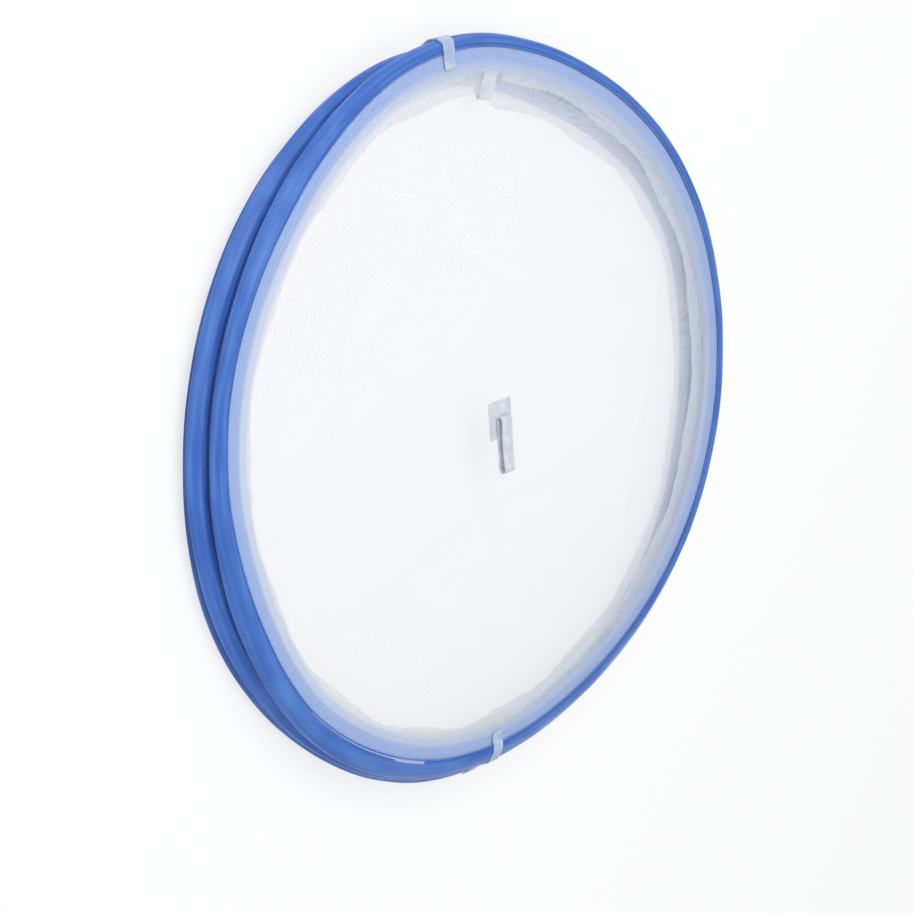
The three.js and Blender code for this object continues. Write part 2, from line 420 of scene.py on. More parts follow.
class Wire:
    """A shader socket that Python's operators act on, through Math nodes."""

    def __init__(self, graph: "Graph", socket: bpy.types.NodeSocket) -> None:
        """Wrap a node's output.

        Args:
            graph: The graph that the node is in.
            socket: The output that the wire carries.
        """
        self.graph = graph
        self.socket = socket

    def __add__(self, other: "Wire | float") -> "Wire":
        """Return the sum."""
        return self.graph.math("ADD", self, other)

    def __sub__(self, other: "Wire | float") -> "Wire":
        """Return the difference."""
        return self.graph.math("SUBTRACT", self, other)

    def __rsub__(self, other: "Wire | float") -> "Wire":
        """Return the reflected difference."""
        return self.graph.math("SUBTRACT", other, self)

    def __mul__(self, other: "Wire | float") -> "Wire":
        """Return the product."""
        return self.graph.math("MULTIPLY", self, other)

    def __truediv__(self, other: "Wire | float") -> "Wire":
        """Return the quotient."""
        return self.graph.math("DIVIDE", self, other)

    __radd__ = __add__
    __rmul__ = __mul__


@dataclass(frozen=True)
class Grain:
    """A layer of smooth noise on cloth: its length and width, and how much finer noise it has."""

    length: float
    width: float
    detail: float
    layer: float = 0.0


class Graph:
    """The node tree of a material or a world, and the few moves that they need."""

    def __init__(
        self, owner: bpy.types.Material | bpy.types.World, output: str = "ShaderNodeOutputMaterial"
    ) -> None:
        """Start an empty tree with its output.

        Args:
            owner: What the tree belongs to.
            output: The type of its output node.
        """
        self.owner = owner
        owner.use_nodes = True
        self.tree = owner.node_tree
        self.tree.nodes.clear()
        self.output = self.node(output)

    @classmethod
    def of_material(cls, name: str) -> "Graph":
        """Start a new material's tree."""
        return cls(bpy.data.materials.new(name))

    def node(
        self,
        kind: str,
        settings: dict[str, Any] | None = None,
        inputs: dict[str | int, Any] | None = None,
    ) -> bpy.types.Node:
        """Make a node, its settings first and then its sockets.

        Args:
            kind: The node's type.
            settings: The node's own properties.
            inputs: A value, socket or wire for each named or numbered input.

        Returns:
            The node.
        """
        made = self.tree.nodes.new(kind)
        for name, value in (settings or {}).items():
            setattr(made, name, value)
        for name, value in (inputs or {}).items():
            if isinstance(value, Wire):
                self.tree.links.new(value.socket, made.inputs[name])
            elif isinstance(value, bpy.types.NodeSocket):
                self.tree.links.new(value, made.inputs[name])
            else:
                made.inputs[name].default_value = value
        return made

    def math(self, operation: str, *values: "Wire | float") -> Wire:
        """Return the wire of a Math node on up to three values."""
        made = self.node("ShaderNodeMath", {"operation": operation}, dict(enumerate(values)))
        return Wire(self, made.outputs[0])

    def cosine(self, wire: Wire) -> Wire:
        """Return the cosine of a wire."""
        return self.math("COSINE", wire)

    def ease(self, wire: Wire, low: float, high: float, start: float, end: float) -> Wire:
        """Carry a wire smoothly from one value to another.

        Args:
            wire: The wire that drives the change.
            low: Where the change starts.
            high: Where the change ends.
            start: The value up to low.
            end: The value from high on.

        Returns:
            The eased wire.
        """
        sockets = {0: wire, 1: low, 2: high, 3: start, 4: end}
        made = self.node("ShaderNodeMapRange", {"interpolation_type": "SMOOTHSTEP"}, sockets)
        return Wire(self, made.outputs[0])

    def colours(self, factor: "Wire | float", first: Any, second: Any) -> Wire:
        """Return the mix of two colours by a factor.

        Args:
            factor: The share of the second colour.
            first: A colour, or the wire of one.
            second: A colour, or the wire of one.

        Returns:
            The wire of the mixed colour.
        """
        settings = {"data_type": "RGBA", "blend_type": "MIX"}
        made = self.node("ShaderNodeMix", settings, {0: factor, 6: first, 7: second})
        return Wire(self, made.outputs[2])

    def split(self, vector: bpy.types.NodeSocket) -> list[Wire]:
        """Return the three parts of a vector."""
        parts = self.node("ShaderNodeSeparateXYZ", inputs={0: vector})
        return [Wire(self, part) for part in parts.outputs]

    def cloth(self) -> list[Wire]:
        """Return the place on the cloth: along the piece and across it, in metres."""
        return self.split(self.node("ShaderNodeUVMap", {"uv_map": CLOTH_MAP}).outputs[0])[:2]

    def place(self) -> list[Wire]:
        """Return the place in the cover's frame, in metres."""
        return self.split(self.node("ShaderNodeTexCoord").outputs["Object"])

    def attribute(self, name: str) -> Wire:
        """Return a number that the mesh holds at its vertices."""
        made = self.node("ShaderNodeAttribute", {"attribute_name": name})
        return Wire(self, made.outputs["Fac"])

    def noise(self, place: "Sequence[Wire | float]", detail: float) -> Wire:
        """Return smooth noise at a place, from 0 to 1.

        Args:
            place: The three parts of the place, in lengths of the noise.
            detail: How much finer noise is added.

        Returns:
            The noise.
        """
        vector = self.node("ShaderNodeCombineXYZ", inputs=dict(enumerate(place)))
        sockets = {"Vector": vector.outputs[0], "Scale": 1.0, "Detail": detail}
        return Wire(self, self.node("ShaderNodeTexNoise", inputs=sockets).outputs[0])

    def mottle(self, along: Wire, across: Wire, grain: Grain) -> Wire:
        """Return smooth noise over a flat cloth, from 0 to 1."""
        return self.noise((along / grain.length, across / grain.width, grain.layer), grain.detail)

    def ring_mottle(self, across: Wire, grain: Grain) -> Wire:
        """Return smooth noise along a hoop, which has no start or end.

        Args:
            across: The place across the cloth.
            grain: The noise's sizes.

        Returns:
            The noise, from 0 to 1.
        """
        east, north = self.place()[:2]
        deep = across / grain.width + grain.layer
        return self.noise((east / grain.length, north / grain.length, deep), grain.detail)

    def bump(self, height: Wire) -> bpy.types.NodeSocket:
        """Return the normal of a surface with the given height in metres."""
        made = self.node("ShaderNodeBump", inputs={"Height": height, "Distance": 1.0})
        return made.outputs[0]

    def shaders(
        self,
        factor: "Wire | bpy.types.NodeSocket",
        first: bpy.types.Node,
        second: bpy.types.Node,
    ) -> bpy.types.Node:
        """Return the mix of two shaders by a factor."""
        inputs = {0: factor, 1: first.outputs[0], 2: second.outputs[0]}
        return self.node("ShaderNodeMixShader", inputs=inputs)

    def close(self, shader: bpy.types.Node) -> Any:
        """Send a shader to the output, and return what the tree belongs to."""
        self.tree.links.new(shader.outputs[0], self.output.inputs[0])
        return self.owner

    def finish(self, inputs: dict[str | int, Any]) -> bpy.types.Material:
        """Close the material with a Principled shader that has the given sockets."""
        return self.close(self.node("ShaderNodeBsdfPrincipled", inputs=inputs))


class Slot(Enum):
    """Material slots of the record."""

    TAPE = "tape_blue"
    NET = "net_white"
    RIBBON = "ribbon_white"
    THREAD = "thread_white"
    STEEL = "spring_steel"


@dataclass(frozen=True)
class TapeFinish:
    """Satin polyester tape, folded and sewn, with soft creases along it. Its colour holds painted light:
    painted sheen on the crease ridges, painted shade in the stitched groove, and a flange painted lighter
    where it lies under the net.
    """

    name: str = "satin_tape"
    light: tuple[float, ...] = srgb(90, 139, 218)
    deep: tuple[float, ...] = srgb(60, 107, 196)
    # Painted shade in the stitched groove along the lip.
    seam: tuple[float, ...] = srgb(44, 88, 168)
    # Painted light: the flange, which lies under the net, is the tape's blue painted lighter.
    flange: tuple[float, ...] = srgb(84, 152, 228)
    flange_start: float = 24 * MM
    flange_blur: float = 1 * MM
    thread_pitch: float = 0.5 * MM
    thread_rise: float = 0.012 * MM
    # The crease and pucker ridges are painted lighter by these shares: painted sheen. The cloud's share is
    # tone that varies at random.
    crease: Grain = Grain(60 * MM, 3.2 * MM, 1.5)
    crease_rise: float = 0.5 * MM
    crease_sheen: float = 0.55
    cloud: Grain = Grain(35 * MM, 14 * MM, 2, 7)
    cloud_tone: float = 0.35
    pucker: Grain = Grain(4.5 * MM, 16 * MM, 1, 13)
    pucker_rise: float = 0.35 * MM
    pucker_sheen: float = 0.1
    pucker_reach: float = 9 * MM
    pucker_left: float = 0.12
    tone_and_sheen_range: tuple[float, float] = (0.32, 0.68)
    seam_place: float = 1.7 * MM
    seam_width: tuple[float, float] = (0.2 * MM, 0.9 * MM)
    seam_shade: float = 0.75
    roughness: tuple[float, float] = (0.5, 0.38)

    def build(self) -> bpy.types.Material:
        """Build the nodes of the tape.

        Returns:
            The material.
        """
        graph = Graph.of_material(self.name)
        along, across = graph.cloth()
        crease = graph.ring_mottle(across, self.crease)
        cloud = graph.ring_mottle(across, self.cloud)
        near_seam = graph.ease(across, self.seam_place, self.pucker_reach, 1, self.pucker_left)
        pucker = graph.ring_mottle(across, self.pucker) * near_seam
        wave = math.tau / self.thread_pitch
        weave = graph.cosine(along * wave) * graph.cosine(across * wave)
        height = (
            weave * self.thread_rise + crease * self.crease_rise + pucker * self.pucker_rise
        )
        # Painted sheen: crease and pucker ridges, which the bump raises, are painted lighter than their
        # hollows; the cloud adds tone that varies at random.
        tone_and_sheen = crease * self.crease_sheen + cloud * self.cloud_tone + pucker * self.pucker_sheen
        body = graph.colours(graph.ease(tone_and_sheen, *self.tone_and_sheen_range, 0, 1), self.deep, self.light)
        # Painted shade: the tape is painted darker towards the stitched groove, where the lip dips.
        from_seam = graph.math("ABSOLUTE", across - self.seam_place)
        shade = graph.ease(from_seam, *self.seam_width, self.seam_shade, 0)
        sewn = graph.colours(shade, body, self.seam)
        # Painted light: from here on the tape is painted lighter, for the flange under the net.
        flange_end = self.flange_start + self.flange_blur
        under = graph.ease(across, self.flange_start, flange_end, 0, 1)
        return graph.finish(
            {
                "Base Color": graph.colours(under, sewn, self.flange),
                "Roughness": graph.ease(crease, *NOISE_RANGE, *self.roughness),
                "Specular IOR Level": 0.35,
                "Sheen Weight": 0.25,
                "Sheen Roughness": 0.4,
                "Normal": graph.bump(height),
            }
        )


@dataclass(frozen=True)
class NetFinish:
    """Fine knitted net: a honeycomb of white thread with holes between."""

    name: str = "knitted_net"
    thread: tuple[float, ...] = srgb(243, 246, 251)
    hem: tuple[float, ...] = srgb(206, 220, 244)
    hem_edges: tuple[float, float] = (-0.6, 1.6)
    hem_holes: float = 0.35
    mesh_pitch: float = 1.1 * MM
    thread_edge: float = -1.3
    hole_edge: float = 0.0
    cloud: Grain = Grain(40 * MM, 40 * MM, 2)
    stretch: float = 5 * MM
    thread_rise: float = 0.1 * MM
    roughness: tuple[float, float] = (0.62, 0.78)

    def build(self) -> bpy.types.Material:
        """Build the nodes of the net.

        Returns:
            The material.
        """
        graph = Graph.of_material(self.name)
        along, across = graph.cloth()
        wave = 4 * math.pi / (math.sqrt(3) * self.mesh_pitch)
        cloud = graph.mottle(along, across, self.cloud)
        pulled = across + cloud * self.stretch
        lean_in = along * (wave * math.sqrt(3) / 2)
        lean_up = pulled * (wave / 2)
        comb = (
            graph.cosine(pulled * wave)
            + graph.cosine(lean_in + lean_up)
            + graph.cosine(lean_in - lean_up)
        )
        hem = graph.attribute(HEM)
        knit = graph.ease(comb, self.thread_edge, self.hole_edge, 1, 0)
        hemmed = hem * graph.ease(comb, *self.hem_edges, 1, self.hem_holes)
        return graph.finish(
            {
                "Base Color": graph.colours(hem, self.thread, self.hem),
                "Roughness": graph.ease(cloud, *NOISE_RANGE, *self.roughness),
                "Specular IOR Level": 0.25,
                "Alpha": graph.math("MAXIMUM", knit, hemmed),
                "Normal": graph.bump(knit * self.thread_rise),
            }
        )


@dataclass(frozen=True)
class RibbonFinish:
    """Ribbed woven ribbon, its rib crests and crease ridges painted lighter than their hollows: painted
    sheen.
    """

    name: str
    light: tuple[float, ...]
    deep: tuple[float, ...]
    rib_pitch: float = 0.8 * MM
    rib_rise: float = 0.05 * MM
    rib_sheen: float = 0.08
    warp_pitch: float = 0.45 * MM
    warp_rise: float = 0.02 * MM
    crease: Grain = Grain(9 * MM, 6 * MM, 1.5)
    crease_rise: float = 0.25 * MM
    crease_sheen: float = 0.8
    tone_and_sheen_range: tuple[float, float] = (0.25, 0.6)
    roughness: tuple[float, float] = (0.5, 0.62)

    def build(self) -> bpy.types.Material:
        """Build the nodes of the ribbon.

        Returns:
            The material.
        """
        graph = Graph.of_material(self.name)
        along, across = graph.cloth()
        rib = graph.cosine(across * (math.tau / self.rib_pitch))
        warp = graph.cosine(along * (math.tau / self.warp_pitch))
        crease = graph.mottle(along, across, self.crease)
        # Painted sheen: the rib crests and crease ridges, which the bump raises, are painted lighter.
        tone_and_sheen = crease * self.crease_sheen + rib * self.rib_sheen
        shade = graph.ease(tone_and_sheen, *self.tone_and_sheen_range, 0, 1)
        height = rib * self.rib_rise + warp * self.warp_rise + crease * self.crease_rise
        return graph.finish(
            {
                "Base Color": graph.colours(shade, self.deep, self.light),
                "Roughness": graph.ease(crease, *NOISE_RANGE, *self.roughness),
                "Specular IOR Level": 0.3,
                "Sheen Weight": 0.2,
                "Normal": graph.bump(height),
            }
        )


@dataclass(frozen=True)
class ThreadFinish:
    """Twisted sewing thread, its plies painted lighter on their crowns and darker in their grooves: painted
    highlight and painted shade.
    """

    name: str
    light: tuple[float, ...]
    deep: tuple[float, ...]
    ply_pitch: float = 0.35 * MM
    ply_rise: float = 0.02 * MM

    def build(self) -> bpy.types.Material:
        """Build the nodes of the thread.

        Returns:
            The material.
        """
        graph = Graph.of_material(self.name)
        east, north, up = graph.place()
        twist = graph.cosine((east + north + up) * (math.tau / self.ply_pitch))
        return graph.finish(
            {
                # Painted shade: the plies are painted lighter where the twist is raised and darker in its
                # grooves.
                "Base Color": graph.colours(twist * 0.5 + 0.5, self.deep, self.light),
                "Roughness": 0.55,
                "Specular IOR Level": 0.3,
                "Normal": graph.bump(twist * self.ply_rise),
            }
        )


@dataclass(frozen=True)
class SteelFinish:
    """Rolled spring steel, with fine lines along it."""

    name: str = "spring_steel"
    light: tuple[float, ...] = srgb(176, 180, 184)
    deep: tuple[float, ...] = srgb(132, 136, 142)
    lines: Grain = Grain(20 * MM, 0.12 * MM, 2)
    line_rise: float = 0.01 * MM
    line_range: tuple[float, float] = (0.2, 0.8)
    roughness: tuple[float, float] = (0.28, 0.45)

    def build(self) -> bpy.types.Material:
        """Build the nodes of the steel.

        Returns:
            The material.
        """
        graph = Graph.of_material(self.name)
        lines = graph.mottle(*graph.cloth(), self.lines)
        return graph.finish(
            {
                "Base Color": graph.colours(lines, self.deep, self.light),
                "Roughness": graph.ease(lines, *self.line_range, *self.roughness),
                "Metallic": 1.0,
                "Normal": graph.bump(lines * self.line_rise),
            }
        )


Finish = TapeFinish | NetFinish | RibbonFinish | ThreadFinish | SteelFinish

SATIN_TAPE = TapeFinish()
KNITTED_NET = NetFinish()
WALL_NET = NetFinish("wall_net", stretch=1.2 * MM)
# A white ribbon painted pale blue-grey: painted shade, with the blue of the tape under it painted in as if
# seen through.
SHADED_STRAP_RIBBON = RibbonFinish("shaded_strap_ribbon", srgb(206, 219, 242), srgb(176, 196, 230))
WHITE_RIBBON = RibbonFinish("white_ribbon", srgb(238, 241, 247), srgb(214, 220, 232))
WHITE_THREAD = ThreadFinish("white_thread", srgb(244, 246, 250), srgb(206, 212, 226))
BLUE_THREAD = ThreadFinish("blue_thread", srgb(96, 134, 206), srgb(48, 84, 164))
SPRING_STEEL = SteelFinish()


# Drawing and modelling


def polar(centre: Vector, radius: float, angle: float) -> Vector:
    """Return the point at a radius and angle round a centre, in a section."""
    return centre + Vector((math.cos(angle), math.sin(angle))) * radius


def arc(centre: Vector, radius: float, first: float, last: float, steps: int) -> list[Vector]:
    """Return points along an arc, in a section.

    Args:
        centre: The arc's centre.
        radius: The arc's radius.
        first: Its first angle.
        last: Its last angle.
        steps: The number of steps between them.

    Returns:
        The points, both ends included.
    """
    return [polar(centre, radius, lerp(first, last, step / steps)) for step in range(steps + 1)]


def run(start: Vector, end: Vector, steps: int, bulge: float = 0.0) -> list[Vector]:
    """Return the inner points of a straight or slightly bulged run, in a section.

    Args:
        start: Where the run starts.
        end: Where it ends.
        steps: The number of steps from start to end.
        bulge: How far the run's middle stands off, to the left of its direction.

    Returns:
        The points between start and end, without them.
    """
    along = end - start
    left = Vector((-along.y, along.x)).normalized()
    shares = [step / steps for step in range(1, steps)]
    return [start + along * share + left * bulge * math.sin(math.pi * share) for share in shares]


@dataclass(frozen=True)
class Outline:
    """A closed outline of a strip, and how far along the strip each point lies."""

    points: tuple[Vector, ...]
    along: tuple[float, ...]

    @classmethod
    def of_strip(cls, path: Sequence[Vector], thickness: float) -> "Outline":
        """Draw a strip of even thickness along a path, with mitred corners.

        Args:
            path: The middle of the strip.
            thickness: The strip's thickness.

        Returns:
            The outline.
        """
        left: list[Vector] = []
        right: list[Vector] = []
        reached: list[float] = []
        total = 0.0
        for index, point in enumerate(path):
            before = path[max(index - 1, 0)]
            after = path[min(index + 1, len(path) - 1)]
            arriving = (point - before) if index else (after - point)
            leaving = (after - point) if index < len(path) - 1 else (point - before)
            mean = (arriving.normalized() + leaving.normalized()).normalized()
            side = Vector((-mean.y, mean.x)) * (thickness / 2 / mean.dot(leaving.normalized()))
            total += (point - before).length
            left.append(point + side)
            right.append(point - side)
            reached.append(total)
        return cls(tuple(left + right[::-1]), tuple(reached + reached[::-1]))

    def moved(self, outwards: float, upwards: float) -> "Outline":
        """Return the outline moved in its section."""
        shift = Vector((outwards, upwards))
        return Outline(tuple(point + shift for point in self.points), self.along)


def at_heading(point: Vector, heading: float) -> Vector:
    """Return the place in space of a point of a section that stands at a heading."""
    return Vector((point.x * math.cos(heading), point.x * math.sin(heading), point.y))


def tangent_at(heading: float) -> Vector:
    """Return the direction along a hoop at a heading."""
    return Vector((-math.sin(heading), math.cos(heading), 0))


@dataclass
class Bench:
    """Models pieces with bmesh operators and finishes them, all in place at the origin."""

    lie: FoldedLie = field(default_factory=FoldedLie)
    ripple: TapeRipple = field(default_factory=TapeRipple)
    sharp: float = math.radians(48)
    doubled: float = 0.01 * MM
    built: dict[str, bpy.types.Material] = field(default_factory=dict)

    def material(self, finish: Finish) -> bpy.types.Material:
        """Return a finish's material, built once.

        Args:
            finish: The finish.

        Returns:
            The material.
        """
        if finish.name not in self.built:
            self.built[finish.name] = finish.build()
        return self.built[finish.name]

    @staticmethod
    def turn_line(
        points: Sequence[Vector],
        along: Sequence[float],
        heading: float,
        sweep: float,
        steps: int,
        rise: float = 0.0,
        closed: bool = True,
    ) -> bmesh.types.BMesh:
        """Turn a line of a section round the cover's axis.

        Args:
            points: The line's points.
            along: How far along the cloth each point lies.
            heading: The heading at which the turn starts.
            sweep: The angle of the turn.
            steps: The number of steps.
            rise: How far the whole turn climbs.
            closed: Whether the line closes on itself, which makes a closed body.

        Returns:
            The new bmesh.
        """
        mesh = bmesh.new()
        layer = mesh.verts.layers.float.new(ALONG)
        verts = []
        for point, reached in zip(points, along):
            vert = mesh.verts.new(at_heading(point, heading))
            vert[layer] = reached
            verts.append(vert)
        ends = verts[1:] + verts[:1] if closed else verts[1:]
        edges = [mesh.edges.new(pair) for pair in zip(verts, ends)]
        full = math.isclose(sweep, math.tau)
        bmesh.ops.spin(
            mesh,
            geom=verts + edges,
            cent=(0, 0, 0),
            axis=UP,
            dvec=UP * (rise / steps),
            angle=sweep,
            steps=steps,
            use_merge=full,
        )
        if closed and not full:
            rims = [edge for edge in mesh.edges if edge.is_boundary]
            bmesh.ops.holes_fill(mesh, edges=rims, sides=0)
        if closed:
            bmesh.ops.recalc_face_normals(mesh, faces=mesh.faces[:])
        return mesh

    @staticmethod
    def map_round(mesh: bmesh.types.BMesh, radius: float) -> None:
        """Write each corner's place on the cloth, for a piece that goes round the axis.

        Args:
            mesh: The bmesh, with its places along the cloth.
            radius: The radius at which lengths round the axis are true.
        """
        layer = mesh.verts.layers.float[ALONG]
        corners = mesh.loops.layers.uv.new(CLOTH_MAP)
        for face in mesh.faces:
            first = None
            for loop in face.loops:
                angle = math.atan2(loop.vert.co.y, loop.vert.co.x)
                first = angle if first is None else first
                angle += math.tau * round((first - angle) / math.tau)
                loop[corners].uv = (angle * radius, loop.vert[layer])

    @staticmethod
    def map_flat(mesh: bmesh.types.BMesh) -> None:
        """Write each corner's place on the cloth, for a piece that lies flat.

        Args:
            mesh: The bmesh.
        """
        corners = mesh.loops.layers.uv.new(CLOTH_MAP)
        for face in mesh.faces:
            for loop in face.loops:
                loop[corners].uv = loop.vert.co.xy

    def settle(self, mesh: bmesh.types.BMesh, hoop: Hoop, rippled: bool = False) -> None:
        """Lay the vertices where the folded cover has them.

        Args:
            mesh: The bmesh.
            hoop: The hoop that the mesh goes with.
            rippled: Whether the waves of sewn tape are added.
        """
        for vert in mesh.verts:
            lift = self.ripple.lift(vert.co) if rippled else 0.0
            vert.co = self.lie.place(vert.co, *self.lie.shares(vert.co, hoop)) + UP * lift

    @staticmethod
    def stitch(
        mesh: bmesh.types.BMesh,
        middle: Vector,
        along: Vector,
        length: float,
        width: float,
        thread: int = 0,
    ) -> list[bmesh.types.BMVert]:
        """Add one stitch, a short thread whose ends dip into the cloth.

        Args:
            mesh: The bmesh that the stitch joins.
            middle: The stitch's middle.
            along: The stitch's direction.
            length: The stitch's length.
            width: The thread's width.
            thread: The material index of the thread.

        Returns:
            The stitch's vertices.
        """
        place = Matrix.Translation(middle) @ along.to_track_quat("X", "Z").to_matrix().to_4x4()
        stretch = Matrix.Diagonal((length / 2, width / 2, width / 2, 1))
        made = bmesh.ops.create_uvsphere(
            mesh, u_segments=6, v_segments=4, radius=1, matrix=place @ stretch
        )
        for face in {face for vert in made["verts"] for face in vert.link_faces}:
            face.material_index = thread
        return made["verts"]

    def piece(
        self,
        mesh: bmesh.types.BMesh,
        name: str,
        finishes: Sequence[Finish],
        slot: Slot,
        replaces: Iterable[str] = (),
    ) -> bpy.types.Object:
        """Make a bmesh into a finished piece.

        Args:
            mesh: The bmesh, which is freed.
            name: The piece's name.
            finishes: The finishes of its material indices.
            slot: The record's slot of its main finish. It is not used.
            replaces: The CAD nodes that the piece stands for.

        Returns:
            The piece's object, at the origin.
        """
        for face in mesh.faces:
            face.smooth = True
        for edge in mesh.edges:
            if len(edge.link_faces) == 2:
                edge.smooth = edge.calc_face_angle(0.0) < self.sharp
        data = bpy.data.meshes.new(name)
        mesh.to_mesh(data)
        count = len(mesh.faces)
        mesh.free()
        made = bpy.data.objects.new(name, data)
        bpy.context.scene.collection.objects.link(made)
        for finish in finishes:
            data.materials.append(self.material(finish))
        if replaces:
            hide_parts(*replaces)
        log.info("piece %s: %d faces", name, count)
        return made


def bend(piece: bpy.types.Object, gradient: Vector, offset: float) -> None:
    """Bend a piece from the base body to the crown body.

    Args:
        piece: The piece.
        gradient: How the place on the blend grows with position.
        offset: The place on the blend at the origin.
    """
    squared = gradient.length_squared
    start = gradient * (-offset / squared)
    end = gradient * ((1 - offset) / squared)
    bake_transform(piece, "base", "crown", start=start, end=end)


# Hoops


@dataclass(frozen=True)
class TapeFold:
    """How the folded tape departs from its plain section: a stitched groove and a full face."""

    edge_drop: float = 0.1 * MM
    groove_depth: float = 0.22 * MM
    groove_start: float = 0.8 * MM
    groove_end: float = 0.9 * MM
    end_drop: float = 0.02 * MM
    full_face: float = 0.28 * MM


def tape_outline(fold: TapeFold = TapeFold()) -> Outline:
    """Draw the folded tape round its own centre.

    Args:
        fold: The groove and the fullness of the tape.

    Returns:
        The outline of the tape, from the lip round the wire to the flange.
    """
    groove = TAPE.lip_edge + SATIN_TAPE.seam_place
    under = TAPE.face_angle - math.pi
    below = TAPE.lower_ply - TAPE.head.y
    mouth = math.pi - math.asin(below / TAPE.fold_round) - math.tau
    face_start = polar(TAPE.head, TAPE.fold_round, TAPE.face_angle)
    face_end = polar(TAPE.toe, TAPE.fold_round, TAPE.face_angle)
    under_start = polar(TAPE.toe, TAPE.fold_round, under)
    under_end = polar(TAPE.head, TAPE.fold_round, under)
    inner = polar(TAPE.head, TAPE.fold_round, mouth)
    edge = Vector((TAPE.flange_edge, TAPE.lower_ply))
    path = [
        Vector((TAPE.lip_edge, TAPE.upper_ply - fold.edge_drop)),
        Vector((groove - fold.groove_start, TAPE.upper_ply)),
        Vector((groove, TAPE.upper_ply - fold.groove_depth)),
        Vector((groove + fold.groove_end, TAPE.upper_ply - fold.end_drop)),
        *arc(TAPE.head, TAPE.fold_round, math.pi / 2, TAPE.face_angle, 4),
        *run(face_start, face_end, 5, fold.full_face),
        *arc(TAPE.toe, TAPE.fold_round, TAPE.face_angle, -TAPE.face_angle, 8),
        under_start,
        *run(under_start, under_end, 3),
        *arc(TAPE.head, TAPE.fold_round, under, mouth, 4),
        *run(inner, edge, 6),
        edge,
    ]
    return Outline.of_strip(path, TAPE.ply)


@dataclass
class WireSizes:
    """Flat spring steel inside the tape, measured down the band from the toe's centre."""

    width: float = 3.2 * MM
    thickness: float = 1 * MM
    hoop_end: float = -0.8 * MM
    turn_end: float = 0.997 * MM

    def outline(self, end: float) -> Outline:
        """Draw the wire's section round the band's centre.

        Args:
            end: How far down the band from the toe's centre the wire's outer edge lies.

        Returns:
            The outline of the wire.
        """
        outer = TAPE.toe + TAPE.down_band * end
        inner = outer - TAPE.down_band * self.width
        middle = (inner + outer) / 2
        return Outline.of_strip([inner, middle, outer], self.thickness)


def seam_at(height: float, sunk: float) -> Vector:
    """Return the place of the tape's stitched groove in the section.

    Args:
        height: The height of the band's centre.
        sunk: How deep the thread lies in the groove.

    Returns:
        The place, as distance out and height.
    """
    out = STACK.radius + TAPE.lip_edge + SATIN_TAPE.seam_place
    return Vector((out, height + TAPE.upper_ply + TAPE.ply / 2 - sunk))


@dataclass
class StitchRow:
    """The row of lock stitches that closes the tape along its lip."""

    length: float = 2.5 * MM
    pitch: float = 3.1 * MM
    width: float = 0.34 * MM
    sunk: float = 0.2 * MM

    def sew(
        self, mesh: bmesh.types.BMesh, height: float, heading: float, sweep: float, rise: float
    ) -> None:
        """Add the row to a binding.

        Args:
            mesh: The binding's bmesh.
            height: The height of the band's centre where the row starts.
            heading: The heading at which it starts.
            sweep: The angle that it covers.
            rise: How far it climbs on the way.
        """
        groove = seam_at(height, self.sunk)
        count = round(sweep * groove.x / self.pitch)
        step = sweep / count
        start = heading + step / 2
        middle = at_heading(groove, start) + UP * (rise / count / 2)
        along = tangent_at(start)
        verts = Bench.stitch(mesh, middle, along, self.length, self.width, THREAD_INDEX)
        faces = dict.fromkeys(face for vert in verts for face in vert.link_faces)
        edges = dict.fromkeys(edge for vert in verts for edge in vert.link_edges)
        bmesh.ops.spin(
            mesh,
            geom=[*verts, *edges, *faces],
            cent=(0, 0, 0),
            axis=UP,
            dvec=UP * (rise / count),
            angle=step * (count - 1),
            steps=count - 1,
            use_duplicate=True,
        )


@dataclass
class TapeJoint:
    """Where the ends of the crown's tape meet: zigzag stitches, and the tail of their thread."""

    bench: Bench
    heading: float = math.radians(-28)
    length: float = 30 * MM
    width: float = 3.0 * MM
    pitch: float = 0.85 * MM
    thread: float = 0.5 * MM
    slant: float = 0.3
    sunk: float = 0.12 * MM
    aside: float = 0.5 * MM
    above: float = 0.1 * MM
    tail_turn: float = math.radians(22)
    tail_thread: float = 0.9 * MM
    tail_taper: float = 0.6
    tail_pitch: float = 2.2 * MM
    tail_stitch: float = 2.6 * MM

    def build(self) -> None:
        """Build the stitches, and the tail that runs on along the groove."""
        mesh = bmesh.new()
        groove = seam_at(STACK.crown_height, self.sunk)
        count = round(self.length / self.pitch)
        for stitch in range(count):
            heading = self.heading + (stitch - count / 2) * self.pitch / groove.x
            outwards = at_heading(Vector((1, 0)), heading)
            lean = tangent_at(heading) * (self.slant if stitch % 2 else -self.slant)
            middle = at_heading(groove + Vector((self.aside, self.above)), heading)
            Bench.stitch(mesh, middle, (outwards + lean).normalized(), self.width, self.thread)
        tail = round(self.tail_turn * groove.x / self.tail_pitch)
        for stitch in range(tail):
            width = self.tail_thread * (1 - self.tail_taper * stitch / tail)
            back = self.length / 2 + (stitch + 0.5) * self.tail_pitch
            heading = self.heading - back / groove.x
            middle = at_heading(groove, heading)
            Bench.stitch(mesh, middle, tangent_at(heading), self.tail_stitch, width)
        self.bench.settle(mesh, Hoop.CROWN, rippled=True)
        joint = self.bench.piece(mesh, "crown_tape_joint", (WHITE_THREAD,), Slot.THREAD)
        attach(joint, "crown")


